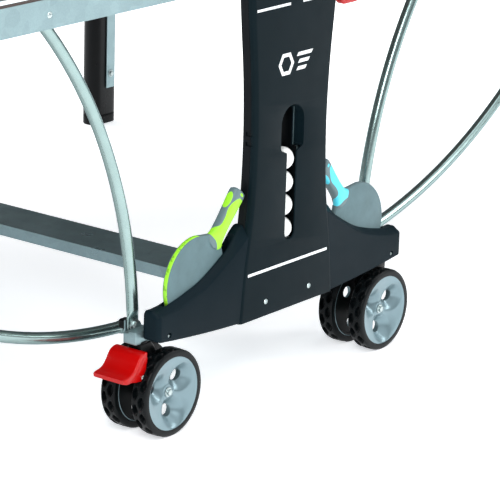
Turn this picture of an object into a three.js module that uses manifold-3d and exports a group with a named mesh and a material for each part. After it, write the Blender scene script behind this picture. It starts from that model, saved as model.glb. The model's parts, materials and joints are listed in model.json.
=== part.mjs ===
// A folding, rolling table tennis table, in millimetres. X runs along the table, Y across it, +Z up.
// The net stands at X = 0 and the floor is Z = 0. "near" is the -Y side and "far" the +Y side;
// "left" is -X and "right" +X. Each pedestal is the other one turned half a circle about Z.
import * as THREE from 'three';
import { mergeVertices } from 'three/addons/utils/BufferGeometryUtils.js';
import Module from 'manifold-3d';

// ---- Driving dimensions ----
const TABLE_LENGTH = 2740;
const TABLE_WIDTH = 1525;
const TABLE_HEIGHT = 760;
const PANEL_THICKNESS = 4.8;
const GAP = 0.3;
const HALF_LENGTH = TABLE_LENGTH / 2;
const SIDE = TABLE_WIDTH / 2;
const MIDDLE_GAP = 4;

const FRAME = { bottom: 708.5, top: 754.9, wall: 18, innerEnd: 12, crossBars: [650, 962], crossBarWidth: 24 };

const BAR = { end: 353, outer: 769, inner: 742, bottom: 164.5, top: 191 };
const BEAM = { halfWidth: 51.5, bottom: 164.5, top: 185 };

const FACE = 803;
const SHELL = { wingDepth: 31, columnDepth: 24.5, end: 338, endBottom: 169, middleBottom: 148, top: 743, wall: 3 };
const COLUMN_HALF_WIDTHS = [
  [148, 130], [180, 126.5], [233, 121], [300, 110], [345, 104.5],
  [400, 100.5], [470, 99.5], [560, 104.5], [660, 115.5], [743, 122],
];
const WING_TOP = [[111, 296], [154, 269], [211, 238], [259, 222], [300, 212], [327, 208]];
const WING_RIM = { rise: 8, setBack: 14 };
const POCKET = { from: 126, to: 306, floor: 167.5, front: 787.4, back: 775.6 };

const PANEL = { front: 805.5, thickness: 3, inset: 1 };
const SLOT = { halfWidth: 13.5, bottom: 268, top: 436 };
const RECESS = { halfWidth: 31, bottom: 430, top: 502, floor: 790 };

const BALL = { radius: 19.8, pitch: 40, count: 4, topZ: 406.6, y: 785 };
const CHANNEL = { halfWidth: 21.5, wall: 2, back: 764.9, bottom: 266.5, top: 522 };
const COLUMN = { halfWidth: 58, front: 799, back: 763.5, bottom: BAR.top + GAP, top: 757, sheet: 3 };
const NET_ARM = { halfWidth: 14, bottom: 744.5, end: 928 };

const NET = { height: 152.5, bottom: 761, thickness: 1.6, halfLength: 903 };
const POST = { y: 915, radius: 10, top: 917 };
const KNOB = { radius: 12, length: 15, z: 884 };

const WHEEL = { radius: 73.5, width: 30, disc: 61.4, bore: 6.2, x: 296, outerY: 803, innerY: 708.4 };
const CASTER = { stemX: 332, y: 755.7, halfWidth: 14, stemRadius: 9, axle: 5.6 };
const PEDAL = { x: 349, z: 113, hub: 8, wideHalf: 25.5, narrowHalf: 13.5 };

const CARRIAGE = { from: 58.6, to: 93.5, front: 797, back: 763.3, bottom: 700, top: 740 };
const CARRIAGE_ARM = { thickness: 8.2, bottom: 722, top: 748, end: 112 };
const CARRIAGE_PIVOT = { x: 100, z: 735, radius: 8, end: 741 };

const TUBE_RADIUS = 10;
const LUG = { radius: 12, thickness: 6, length: 34, bore: 5.6 };
const PIN_RADIUS = 5;
const UPPER_ARC = { foot: [312, 179], head: [558, 730], radius: 807, y: 727.5 };
const LOWER_ARC = { foot: [262, 154], head: [1095, 581], radius: 1115, y: 675 };

const LEG = { x: 1190, y: 636, sizeX: 84, sizeY: 48, top: 640, corner: 22 };
const LEG_HINGE = { x: 1010, z: 694, radius: 11, halfLength: 660 };
const LEG_STRIP = { from: 1185.5, to: 1213.5, thickness: 2.2, bottom: 85, capTop: 668 };
const CROSSBAR = { bottom: 556, top: 584 };

const HANDLE = { from: 186, to: 246, bottom: 634, top: 704, outer: 760, inner: 746, grip: 13 };
const HANDLE_EAR = { thickness: 4, bottom: 692 };

const BAT = { x: 224, z: 244.5, radius: 76, front: 786.5, thickness: 10, endX: 114.5, endZ: 373.5 };
const BAT_HANDLE = { halfWidth: 14, front: 795, back: 772.6, start: 58 };

// ---- Colours and finishes ----
const finish = (color, roughness, metalness) => ({ color, roughness, metalness });
const GALVANISED = finish(0x9fb4b5, 0.38, 0.85);
const BLACK_PLASTIC = finish(0x262d32, 0.42, 0.0);
const BLACK_LEG = finish(0x16191b, 0.4, 0.1);
const PLAYING_SURFACE = finish(0x2e3a3c, 0.55, 0.0);
const TYRE = finish(0x191b1d, 0.75, 0.0);
const RED_PLASTIC = finish(0xb60a05, 0.35, 0.0);
const NET_CLOTH = finish(0x23282b, 0.9, 0.0);
const BALL_WHITE = finish(0xf1f2ee, 0.4, 0.0);
const BAT_LIME = finish(0xa8e04a, 0.5, 0.0);
const BAT_CYAN = finish(0x6fdbe0, 0.5, 0.0);

// ---- Solids ----
const wasm = await Module();
wasm.setup();

function solid(geometry) {
  const bare = geometry.clone();
  bare.deleteAttribute('normal');
  bare.deleteAttribute('uv');
  const merged = mergeVertices(bare, 1e-3);
  return new wasm.Manifold(new wasm.Mesh({
    numProp: 3,
    vertProperties: Float32Array.from(merged.attributes.position.array),
    triVerts: Uint32Array.from(merged.index.array),
  }));
}

function geometryOf(body) {
  const mesh = body.getMesh();
  const geometry = new THREE.BufferGeometry();
  geometry.setAttribute('position', new THREE.BufferAttribute(Float32Array.from(mesh.vertProperties), 3));
  geometry.setIndex(new THREE.BufferAttribute(Uint32Array.from(mesh.triVerts), 1));
  geometry.computeVertexNormals();
  return geometry;
}

// A box between two corners, each given as [x, y, z].
function box(low, high) {
  const size = high.map((value, axis) => value - low[axis]);
  const geometry = new THREE.BoxGeometry(...size);
  geometry.translate(...high.map((value, axis) => (value + low[axis]) / 2));
  return solid(geometry);
}

// An outline in the XZ plane, filled between two Y planes.
function prism(outline, y0, y1, curveSegments = 6) {
  const shape = outline instanceof THREE.Shape ? outline : new THREE.Shape(outline.map((p) => new THREE.Vector2(...p)));
  const geometry = new THREE.ExtrudeGeometry(shape, { depth: y1 - y0, bevelEnabled: false, curveSegments });
  geometry.rotateX(Math.PI / 2);
  geometry.translate(0, y1, 0);
  return solid(geometry);
}

// A cylinder along Y.
function pinY(x, z, radius, y0, y1, segments = 12) {
  const geometry = new THREE.CylinderGeometry(radius, radius, y1 - y0, segments);
  geometry.translate(x, (y0 + y1) / 2, z);
  return solid(geometry);
}

// A cylinder along Z.
function pinZ(x, y, radius, z0, z1, segments = 16) {
  const geometry = new THREE.CylinderGeometry(radius, radius, z1 - z0, segments);
  geometry.rotateX(Math.PI / 2);
  geometry.translate(x, y, (z0 + z1) / 2);
  return solid(geometry);
}

const join = (first, ...others) => others.reduce((sum, body) => sum.add(body), first);
const cut = (first, ...others) => others.reduce((rest, body) => rest.subtract(body), first);

function mirroredInX(geometry) {
  const copy = geometry.clone();
  copy.scale(-1, 1, 1);
  const index = copy.index.array;
  for (let i = 0; i < index.length; i += 3) {
    const second = index[i + 1];
    index[i + 1] = index[i + 2];
    index[i + 2] = second;
  }
  copy.computeVertexNormals();
  return copy;
}

// ---- The scene graph ----
const table = new THREE.Group();
const farSide = new THREE.Group();
farSide.rotation.z = Math.PI;
table.add(farSide);

function addNode(parent, name, geometry, look) {
  const mesh = new THREE.Mesh(geometry, new THREE.MeshStandardMaterial(look));
  mesh.name = name;
  parent.add(mesh);
}

// One solid of the near side, and the same solid on the far side, turned half a circle about Z.
function addBothSides(prefix, suffix, body, look, mirror = false) {
  const geometry = mirror ? mirroredInX(geometryOf(body)) : geometryOf(body);
  const here = mirror ? 'left' : 'right';
  const there = mirror ? 'right' : 'left';
  addNode(table, suffix ? `${prefix}_near_${here}${suffix}` : `${prefix}_near_${here}`, geometry, look);
  addNode(farSide, suffix ? `${prefix}_far_${there}${suffix}` : `${prefix}_far_${there}`, geometry, look);
}

// A near right solid repeated at all four corners.
function addFourTimes(prefix, suffix, body, look) {
  addBothSides(prefix, suffix, body, look, false);
  addBothSides(prefix, suffix, body, look, true);
}

function addNearAndFar(name, body, look) {
  const geometry = geometryOf(body);
  addNode(table, `${name}_near`, geometry, look);
  addNode(farSide, `${name}_far`, geometry, look);
}

// ---- Base: a bar across each pedestal and the beam that joins them ----
function baseBar() {
  const bar = box([-BAR.end, -BAR.outer, BAR.bottom], [BAR.end, -BAR.inner, BAR.top]);
  const dropHalfWidth = 12;
  const dropPlateInner = BAR.inner - 4;
  const footings = [-1, 1].flatMap((side) => {
    const [lowX, lowZ] = LOWER_ARC.foot;
    const [highX, highZ] = UPPER_ARC.foot;
    const plate = box(
      [side * lowX - dropHalfWidth, -BAR.inner - 0.5, lowZ - 6.5],
      [side * lowX + dropHalfWidth, -dropPlateInner, BAR.top - 4],
    );
    const lowerBoss = pinY(side * lowX, lowZ, 6.5, -dropPlateInner - 1, -LOWER_ARC.y - TUBE_RADIUS - 1);
    const upperBoss = pinY(side * highX, highZ - 1, 8, -BAR.inner - 1, -UPPER_ARC.y - TUBE_RADIUS - 0.8);
    return [plate, lowerBoss, upperBoss];
  });
  return join(bar, ...footings);
}
addNearAndFar('base_bar', baseBar(), GALVANISED);

const beamEnd = BAR.inner - GAP;
addNode(table, 'cross_beam', geometryOf(
  box([-BEAM.halfWidth, -beamEnd, BEAM.bottom], [BEAM.halfWidth, beamEnd, BEAM.top]),
), GALVANISED);

// ---- Pedestal: winged shell, front panel and the steel column inside ----
const columnCurve = new THREE.SplineCurve(COLUMN_HALF_WIDTHS.map(([z, half]) => new THREE.Vector2(half, z)));
const COLUMN_STEPS = 16;

// The column's outline, inset on all sides, between two heights.
function columnOutline(inset, bottom, top) {
  const right = columnCurve.getPoints(COLUMN_STEPS)
    .map((point) => [point.x - inset, THREE.MathUtils.clamp(point.y, bottom, top)]);
  const left = right.map(([x, z]) => [-x, z]).reverse();
  return [...right, ...left];
}

function wingOutline(rise) {
  const lift = (points) => points.map(([x, z]) => [x, z + rise]);
  const bottom = [0, 0.25, 0.5, 0.75, 1].map((t) => [
    SHELL.end * t,
    SHELL.middleBottom + (SHELL.endBottom - SHELL.middleBottom) * t * t,
  ]);
  const end = [[SHELL.end, 201 + rise]];
  const top = lift([...WING_TOP]).reverse();
  const right = [...bottom, ...end, ...top];
  const left = right.slice(1).map(([x, z]) => [-x, z]).reverse();
  return [...right, ...left];
}

function pedestalShell() {
  const wingBack = FACE - SHELL.wingDepth;
  const column = prism(columnOutline(0, SHELL.middleBottom + 4, SHELL.top), -FACE, -FACE + SHELL.columnDepth);
  const face = prism(wingOutline(0), -FACE, -FACE + WING_RIM.setBack);
  const rim = prism(wingOutline(WING_RIM.rise), -FACE + WING_RIM.setBack - 1, -wingBack);
  const hollow = prism(
    columnOutline(SHELL.wall + 2, SHELL.middleBottom + 6, SHELL.top - SHELL.wall),
    -FACE + SHELL.wall, -wingBack + 40,
  );
  const pockets = [-1, 1].map((side) => {
    const ends = [side * POCKET.from, side * POCKET.to].sort((a, b) => a - b);
    return box([ends[0], -POCKET.front, POCKET.floor], [ends[1], -POCKET.back, SHELL.top]);
  });
  const window = box([-34, -FACE - 5, SLOT.bottom - 6], [34, -FACE + SHELL.wall + 1, RECESS.top + 8]);
  const armGap = box([-NET_ARM.halfWidth - 1, -FACE - 5, NET_ARM.bottom - 2], [NET_ARM.halfWidth + 1, -700, 800]);
  return cut(join(column, face, rim), hollow, ...pockets, window, armGap);
}
addNearAndFar('pedestal_shell', pedestalShell(), BLACK_PLASTIC);

function frontPanel() {
  const inner = PANEL.front - PANEL.thickness + 0.8;
  const plate = prism(columnOutline(PANEL.inset, SHELL.middleBottom + 2, SHELL.top), -PANEL.front, -inner);
  const slotShape = new THREE.Shape();
  slotShape.moveTo(SLOT.halfWidth, SLOT.bottom + SLOT.halfWidth);
  slotShape.lineTo(SLOT.halfWidth, SLOT.top);
  slotShape.lineTo(-SLOT.halfWidth, SLOT.top);
  slotShape.lineTo(-SLOT.halfWidth, SLOT.bottom + SLOT.halfWidth);
  slotShape.absarc(0, SLOT.bottom + SLOT.halfWidth, SLOT.halfWidth, Math.PI, 2 * Math.PI, false);
  const recessShape = new THREE.Shape();
  recessShape.moveTo(RECESS.halfWidth, RECESS.bottom);
  recessShape.lineTo(RECESS.halfWidth, RECESS.top - RECESS.halfWidth);
  recessShape.absarc(0, RECESS.top - RECESS.halfWidth, RECESS.halfWidth, 0, Math.PI, false);
  recessShape.lineTo(-RECESS.halfWidth, RECESS.bottom);
  const slot = prism(slotShape, -PANEL.front - 5, -inner + 5);
  const recess = prism(recessShape, -PANEL.front - 5, -inner + 5);
  return cut(plate, slot, recess);
}
addNearAndFar('pedestal_panel', frontPanel(), BLACK_PLASTIC);

function steelColumn() {
  const { halfWidth, front, back, bottom, top, sheet } = COLUMN;
  const spine = box([-halfWidth, -back - sheet, bottom], [halfWidth, -back, top]);
  const flanges = [-1, 1].map((side) => {
    const ends = [side * halfWidth, side * (halfWidth - sheet)].sort((a, b) => a - b);
    return box([ends[0], -front, bottom], [ends[1], -back - 1, SHELL.top - SHELL.wall - 1]);
  });
  const channelBlock = box(
    [-CHANNEL.halfWidth - CHANNEL.wall, -front, CHANNEL.bottom - CHANNEL.wall],
    [CHANNEL.halfWidth + CHANNEL.wall, -back - 1, CHANNEL.top + CHANNEL.wall],
  );
  const channelHole = box(
    [-CHANNEL.halfWidth, -front - 5, CHANNEL.bottom],
    [CHANNEL.halfWidth, -CHANNEL.back, CHANNEL.top],
  );
  const recessRoom = box(
    [-RECESS.halfWidth, -front - 5, RECESS.bottom - 4],
    [RECESS.halfWidth, -RECESS.floor, CHANNEL.top + 10],
  );
  const arm = box([-NET_ARM.halfWidth, -NET_ARM.end, NET_ARM.bottom], [NET_ARM.halfWidth, -back - 1, top]);
  return join(cut(join(spine, ...flanges, channelBlock), channelHole, recessRoom), arm);
}
addNearAndFar('column_frame', steelColumn(), GALVANISED);

for (let i = 0; i < BALL.count; i += 1) {
  const ball = new THREE.SphereGeometry(BALL.radius, 14, 9);
  ball.translate(0, -BALL.y, BALL.topZ - BALL.pitch * i);
  addNode(table, `ball_${i + 1}`, geometryOf(solid(ball)), BALL_WHITE);
}

// ---- Bats in the wing pockets of the near pedestal ----
function bat() {
  const blade = pinY(BAT.x, BAT.z, BAT.radius, -BAT.front, -BAT.front + BAT.thickness, 28);
  const run = new THREE.Vector2(BAT.endX - BAT.x, BAT.endZ - BAT.z);
  const along = run.clone().normalize();
  const across = new THREE.Vector2(-along.y, along.x).multiplyScalar(BAT_HANDLE.halfWidth);
  const start = along.clone().multiplyScalar(BAT_HANDLE.start).add(new THREE.Vector2(BAT.x, BAT.z));
  const end = new THREE.Vector2(BAT.endX, BAT.endZ);
  const corners = [
    start.clone().sub(across), end.clone().sub(across), end.clone().add(across), start.clone().add(across),
  ];
  const outline = corners.map((corner) => [corner.x, corner.y]);
  const isClockwise = THREE.ShapeUtils.isClockWise(corners);
  const handle = prism(isClockwise ? outline.reverse() : outline, -BAT_HANDLE.front, -BAT_HANDLE.back);
  return join(blade, handle);
}
const batGeometry = geometryOf(bat());
addNode(table, 'bat_right', batGeometry, BAT_CYAN);
addNode(table, 'bat_left', mirroredInX(batGeometry), BAT_LIME);

// ---- Net ----
addNode(table, 'net', geometryOf(box(
  [-NET.thickness / 2, -NET.halfLength, NET.bottom],
  [NET.thickness / 2, NET.halfLength, NET.bottom + NET.height - 1],
)), NET_CLOTH);

const postBottom = COLUMN.top + GAP;
addNearAndFar('net_post', pinZ(0, -POST.y, POST.radius, postBottom, POST.top), BLACK_LEG);

const knobStart = POST.y + POST.radius + GAP;
addNearAndFar('tension_knob', pinY(0, KNOB.z, KNOB.radius, -knobStart - KNOB.length, -knobStart), BLACK_LEG);

// ---- Casters: a swivel housing with two wheels; two of them carry a brake pedal ----
function casterHousing() {
  const outline = [
    [342, 162.5], [314, 162.5], [304, 150], [283, 112], [274, 76],
    [280, 56], [298, 50], [318, 62], [333, 100], [342, 138],
  ];
  const body = prism(outline, -CASTER.y - CASTER.halfWidth, -CASTER.y + CASTER.halfWidth);
  const stem = pinZ(CASTER.stemX, -CASTER.y, CASTER.stemRadius, 150, BAR.bottom - GAP);
  const axle = pinY(WHEEL.x, WHEEL.radius, CASTER.axle, -WHEEL.outerY + 14, -WHEEL.innerY - 14);
  return join(body, stem, axle);
}
addFourTimes('caster', '', casterHousing(), BLACK_LEG);

// The wheel's half section, from the bore out, with its dished face towards -Y.
function wheel(outerFace, dish) {
  const { radius, width, disc, bore } = WHEEL;
  const section = [
    [bore, 5], [bore, 22], [disc - 4, width - 5], [radius - 4, width], [radius, width - 6],
    [radius, 6], [radius - 4, 0], [disc - 4, 1.2], [34, 8], [18, 12], [15, 5],
  ].map(([r, depth]) => new THREE.Vector2(r, dish * depth));
  const closed = [...section, section[0]];
  const geometry = new THREE.LatheGeometry(dish > 0 ? closed.reverse() : closed, 24);
  geometry.translate(WHEEL.x, outerFace, WHEEL.radius);
  return solid(geometry);
}
addFourTimes('wheel', '_outer', wheel(-WHEEL.outerY, 1), TYRE);
addFourTimes('wheel', '_inner', wheel(-WHEEL.innerY, -1), TYRE);

function brakePedal() {
  const tongue = [
    [346, 141], [345, 151], [352, 155], [366, 149], [380, 140], [390, 128], [397, 121],
    [406, 119], [408, 114], [396, 108], [372, 103.5], [363, 120],
  ].reverse();
  const web = [[349, 106], [376, 106], [376, 134], [349, 136]];
  const wide = prism(tongue, -CASTER.y - PEDAL.wideHalf, -CASTER.y + PEDAL.wideHalf);
  const narrow = prism(web, -CASTER.y - PEDAL.narrowHalf, -CASTER.y + PEDAL.narrowHalf);
  const hub = pinY(PEDAL.x, PEDAL.z, PEDAL.hub, -CASTER.y - PEDAL.narrowHalf, -CASTER.y + PEDAL.narrowHalf);
  return join(wide, narrow, hub);
}
addBothSides('brake_pedal', '', brakePedal(), RED_PLASTIC, true);

// ---- Arc tubes with flattened ends ----
// A circular arc between two points [x, z] with a given radius; bulge +1 has its centre to the right.
class ArcCurve extends THREE.Curve {
  constructor(foot, head, radius, bulge, y) {
    super();
    const chord = new THREE.Vector2(head[0] - foot[0], head[1] - foot[1]);
    const middle = new THREE.Vector2((head[0] + foot[0]) / 2, (head[1] + foot[1]) / 2);
    const toCentre = new THREE.Vector2(chord.y, -chord.x).normalize().multiplyScalar(bulge);
    const distance = Math.sqrt(radius ** 2 - (chord.length() / 2) ** 2);
    this.centre = middle.add(toCentre.multiplyScalar(distance));
    this.radius = radius;
    this.y = y;
    this.start = Math.atan2(foot[1] - this.centre.y, foot[0] - this.centre.x);
    this.sweep = Math.atan2(head[1] - this.centre.y, head[0] - this.centre.x) - this.start;
    this.sweep = THREE.MathUtils.euclideanModulo(this.sweep + Math.PI, 2 * Math.PI) - Math.PI;
  }

  getPoint(t) {
    const angle = this.start + this.sweep * t;
    return new THREE.Vector3(
      this.centre.x + this.radius * Math.cos(angle), this.y, this.centre.y + this.radius * Math.sin(angle),
    );
  }
}

// A flat tongue with a round end at t = 0 or 1 of the curve, running inwards along it.
function lug(curve, t) {
  const tip = curve.getPoint(t);
  const inward = curve.getPoint(t === 0 ? 0.01 : 0.99).sub(tip).normalize();
  const root = tip.clone().addScaledVector(inward, LUG.length);
  const across = new THREE.Vector3(-inward.z, 0, inward.x).multiplyScalar(LUG.radius);
  const corners = [tip.clone().sub(across), root.clone().sub(across), root.clone().add(across), tip.clone().add(across)];
  const outline = corners.map((corner) => new THREE.Vector2(corner.x, corner.z));
  if (THREE.ShapeUtils.isClockWise(outline)) outline.reverse();
  const y0 = curve.y - LUG.thickness / 2;
  const y1 = curve.y + LUG.thickness / 2;
  const tongue = join(prism(outline.map((p) => [p.x, p.y]), y0, y1), pinY(tip.x, tip.z, LUG.radius, y0, y1, 12));
  return cut(tongue, pinY(tip.x, tip.z, LUG.bore, y0 - 1, y1 + 1, 8));
}

function arcTube(arc, bulge, steps) {
  const curve = new ArcCurve(arc.foot, arc.head, arc.radius, bulge, -arc.y);
  const length = curve.getLength();
  const margin = (LUG.radius + 8) / length;
  const middle = new THREE.Curve();
  middle.getPoint = (t) => curve.getPoint(margin + (1 - 2 * margin) * t);
  const section = new THREE.Shape();
  section.absarc(0, 0, TUBE_RADIUS, 0, 2 * Math.PI, false);
  const tube = solid(new THREE.ExtrudeGeometry(section, { extrudePath: middle, steps, curveSegments: 4 }));
  return join(tube, lug(curve, 0), lug(curve, 1));
}
addFourTimes('upper_arc', '', arcTube(UPPER_ARC, 1, 9), GALVANISED);
addFourTimes('lower_arc', '', arcTube(LOWER_ARC, -1, 12), GALVANISED);

// ---- Table halves: a panel on a steel frame, carried by a slide block on each pedestal ----
function halfFrame() {
  const { bottom, top, wall, innerEnd, crossBars, crossBarWidth } = FRAME;
  const rail = (x0, x1, y0, y1) => box([x0, y0, bottom], [x1, y1, top]);
  const rails = [
    rail(innerEnd, HALF_LENGTH, -SIDE, -SIDE + wall),
    rail(innerEnd, HALF_LENGTH, SIDE - wall, SIDE),
    rail(innerEnd, innerEnd + wall, -SIDE + 1, SIDE - 1),
    rail(HALF_LENGTH - wall, HALF_LENGTH, -SIDE + 1, SIDE - 1),
    ...crossBars.map((x) => rail(x, x + crossBarWidth, -SIDE + 1, SIDE - 1)),
  ];
  const sides = [-1, 1];
  const holes = sides.map((side) => {
    const ends = [side * (SIDE + 1), side * (SIDE - wall - 1)].sort((a, b) => a - b);
    return pinY(CARRIAGE_PIVOT.x, CARRIAGE_PIVOT.z, CARRIAGE_PIVOT.radius + 0.7, ends[0], ends[1], 16);
  });
  const arcPins = sides.map((side) => {
    const ends = [side * (SIDE - wall + 1), side * (UPPER_ARC.y - 6)].sort((a, b) => a - b);
    return pinY(UPPER_ARC.head[0], UPPER_ARC.head[1], PIN_RADIUS, ends[0], ends[1], 10);
  });
  const hangers = sides.map((side) => {
    const ends = [side * (LEG_HINGE.halfLength + GAP), side * (LEG_HINGE.halfLength + 5)].sort((a, b) => a - b);
    return box(
      [FRAME.crossBars[1] + 6, ends[0], LEG_HINGE.z - 14],
      [LEG_HINGE.x + 16, ends[1], bottom + 20],
    );
  });
  const ears = [HANDLE.from - HANDLE_EAR.thickness - 0.5, HANDLE.to + 0.5].map((x) => box(
    [x, -HANDLE.outer, HANDLE_EAR.bottom],
    [x + HANDLE_EAR.thickness, -HANDLE.inner, bottom + 1],
  ));
  return join(cut(join(...rails), ...holes), ...arcPins, ...hangers, ...ears);
}

const panel = box([MIDDLE_GAP, -SIDE, TABLE_HEIGHT - PANEL_THICKNESS], [HALF_LENGTH, SIDE, TABLE_HEIGHT]);
for (const [side, group] of [['right', table], ['left', farSide]]) {
  addNode(group, `table_top_${side}`, geometryOf(panel), PLAYING_SURFACE);
  addNode(group, `top_frame_${side}`, geometryOf(halfFrame()), GALVANISED);
}

function carriage() {
  const { from, to, front, back, bottom, top } = CARRIAGE;
  const block = box([from, -front, bottom], [to, -back, top]);
  const arm = box(
    [from + 10, -back - CARRIAGE_ARM.thickness, CARRIAGE_ARM.bottom],
    [CARRIAGE_ARM.end, -back, CARRIAGE_ARM.top],
  );
  const pin = pinY(CARRIAGE_PIVOT.x, CARRIAGE_PIVOT.z, CARRIAGE_PIVOT.radius, -back - 1, -CARRIAGE_PIVOT.end, 16);
  return join(block, arm, pin);
}
addFourTimes('carriage', '', carriage(), BLACK_LEG);

function releaseHandle() {
  const { from, to, bottom, top, outer, inner, grip } = HANDLE;
  const outline = new THREE.Shape();
  outline.moveTo(from, top);
  outline.lineTo(from, bottom + 16);
  outline.quadraticCurveTo(from, bottom, from + 16, bottom);
  outline.lineTo(to - 16, bottom);
  outline.quadraticCurveTo(to, bottom, to, bottom + 16);
  outline.lineTo(to, top);
  const loop = prism(outline, -outer, -inner, 3);
  const hole = box([from + grip, -outer - 1, bottom + grip], [to - grip, -inner + 1, top - grip]);
  return cut(loop, hole);
}
addBothSides('release_handle', '', releaseHandle(), RED_PLASTIC);

// ---- Legs: two black posts on one steel frame for each half ----
function legFrame() {
  const { x, z, radius, halfLength } = LEG_HINGE;
  const outerFace = LEG.y + LEG.sizeY / 2;
  const innerFace = LEG.y - LEG.sizeY / 2;
  const capFloor = LEG.top + GAP;
  const plateOuter = outerFace + 2.8;
  const stripInner = innerFace - GAP - LEG_STRIP.thickness;
  const tube = pinY(x, z, radius, -halfLength, halfLength, 16);
  const [lugX, lugZ] = LOWER_ARC.head;
  const sides = [-1, 1].flatMap((side) => {
    const span = (a, b) => [side * a, side * b].sort((p, q) => p - q);
    const [arm0, arm1] = span(LEG.y - 12, LEG.y + 12);
    const [cap0, cap1] = span(stripInner, plateOuter);
    const [plate0, plate1] = span(outerFace + GAP, plateOuter);
    const [boss0, boss1] = span(plateOuter - 1, LOWER_ARC.y - TUBE_RADIUS - 0.7);
    const [pin0, pin1] = span(plateOuter, LOWER_ARC.y + 5);
    const [strip0, strip1] = span(stripInner, innerFace - GAP);
    return [
      prism([[x - 4, z - 11], [LEG.x + 10, capFloor + 2], [LEG.x + 10, LEG_STRIP.capTop], [x + 2, z + 10]], arm0, arm1),
      box([LEG.x - 32, cap0, capFloor], [LEG_STRIP.to, cap1, LEG_STRIP.capTop]),
      prism([
        [lugX - 14, lugZ - 14], [lugX + 12, lugZ - 14], [LEG.x, capFloor], [LEG.x, LEG_STRIP.capTop],
        [LEG.x - 30, LEG_STRIP.capTop],
      ], plate0, plate1),
      pinY(lugX, lugZ, 8, boss0, boss1),
      pinY(lugX, lugZ, PIN_RADIUS, pin0, pin1, 10),
      box([LEG_STRIP.from, strip0, LEG_STRIP.bottom], [LEG_STRIP.to, strip1, capFloor + 1]),
    ];
  });
  const crossbar = box(
    [LEG_STRIP.from, -stripInner - 0.5, CROSSBAR.bottom],
    [LEG_STRIP.to, stripInner + 0.5, CROSSBAR.top],
  );
  return join(tube, crossbar, ...sides);
}
for (const [side, group] of [['right', table], ['left', farSide]]) {
  addNode(group, `leg_frame_${side}`, geometryOf(legFrame()), GALVANISED);
}

function legPost() {
  const { x, y, sizeX, sizeY, top, corner } = LEG;
  const halfX = sizeX / 2;
  const halfY = sizeY / 2;
  const outline = new THREE.Shape();
  outline.absarc(halfX - corner, halfY - corner, corner, 0, Math.PI / 2, false);
  outline.absarc(-halfX + corner, halfY - corner, corner, Math.PI / 2, Math.PI, false);
  outline.absarc(-halfX + corner, -halfY + corner, corner, Math.PI, 1.5 * Math.PI, false);
  outline.absarc(halfX - corner, -halfY + corner, corner, 1.5 * Math.PI, 2 * Math.PI, false);
  const geometry = new THREE.ExtrudeGeometry(outline, { depth: top, bevelEnabled: false, curveSegments: 3 });
  geometry.translate(x, -y, 0);
  return solid(geometry);
}
addFourTimes('leg', '', legPost(), BLACK_LEG);

export default table;
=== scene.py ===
"""The looks of a folding table tennis table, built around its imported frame.

Metres, +Z up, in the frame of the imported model: X along the table, Y across it, the net at X = 0 and the
floor at Z = 0. Pieces are modelled on the near side (-Y) and copied to the far side by half a turn about Z,
which is how the table repeats.
"""

import json
import math

import bmesh
import bpy
from mathutils import Matrix, Vector


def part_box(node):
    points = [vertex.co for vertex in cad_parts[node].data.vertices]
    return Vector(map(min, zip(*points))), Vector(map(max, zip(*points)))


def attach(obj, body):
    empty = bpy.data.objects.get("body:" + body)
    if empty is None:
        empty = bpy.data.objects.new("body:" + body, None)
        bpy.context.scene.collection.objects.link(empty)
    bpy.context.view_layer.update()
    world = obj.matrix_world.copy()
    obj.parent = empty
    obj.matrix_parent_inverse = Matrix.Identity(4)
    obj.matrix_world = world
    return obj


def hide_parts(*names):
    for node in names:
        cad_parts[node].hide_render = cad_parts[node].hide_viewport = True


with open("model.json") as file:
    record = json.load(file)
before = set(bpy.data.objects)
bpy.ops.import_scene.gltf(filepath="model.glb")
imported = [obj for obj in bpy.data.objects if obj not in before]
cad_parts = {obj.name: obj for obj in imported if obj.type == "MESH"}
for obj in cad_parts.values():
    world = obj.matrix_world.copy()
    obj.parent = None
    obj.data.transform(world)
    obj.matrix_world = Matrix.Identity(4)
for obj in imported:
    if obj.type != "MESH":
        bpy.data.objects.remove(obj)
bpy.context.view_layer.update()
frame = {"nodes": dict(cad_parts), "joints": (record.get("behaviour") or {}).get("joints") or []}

MM = 0.001
HALF_TURN = Matrix.Rotation(math.pi, 4, "Z")
CORNERS = [("near", "left"), ("near", "right"), ("far", "left"), ("far", "right")]

# ---- Sizes read from the frame ----
SHELL_LOW, SHELL_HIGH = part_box("pedestal_shell_near")
PANEL_LOW, PANEL_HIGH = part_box("pedestal_panel_near")
BAR_LOW, BAR_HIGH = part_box("base_bar_near")
WHEEL_LOW, WHEEL_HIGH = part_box("wheel_near_right_outer")
INNER_WHEEL_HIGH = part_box("wheel_near_right_inner")[1]
TOP_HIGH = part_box("table_top_right")[1]
NET_LOW, NET_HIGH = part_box("net")
POST_LOW, POST_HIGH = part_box("net_post_near")
KNOB_LOW, KNOB_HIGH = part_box("tension_knob_near")
LEG_LOW, LEG_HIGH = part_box("leg_near_right")
BAT_LOW, BAT_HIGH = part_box("bat_right")
BALL_BOXES = [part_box(f"ball_{number}") for number in range(1, 5)]
RELEASE_LOW, RELEASE_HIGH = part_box("release_handle_near_right")

FACE_Y = SHELL_LOW.y
WING_BACK_Y = SHELL_HIGH.y
COLUMN_BACK_Y = FACE_Y + 24.5 * MM
PANEL_FRONT_Y = PANEL_LOW.y
COLUMN_TOP = PANEL_HIGH.z
WING_END = SHELL_HIGH.x
WHEEL_RADIUS = (WHEEL_HIGH.z - WHEEL_LOW.z) / 2
WHEEL_WIDTH = WHEEL_HIGH.y - WHEEL_LOW.y
WHEEL_CENTRE = (WHEEL_LOW + WHEEL_HIGH) / 2
SIDE_Y = TOP_HIGH.y
TABLE_TOP = TOP_HIGH.z
HALF_LENGTH = TOP_HIGH.x


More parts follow.
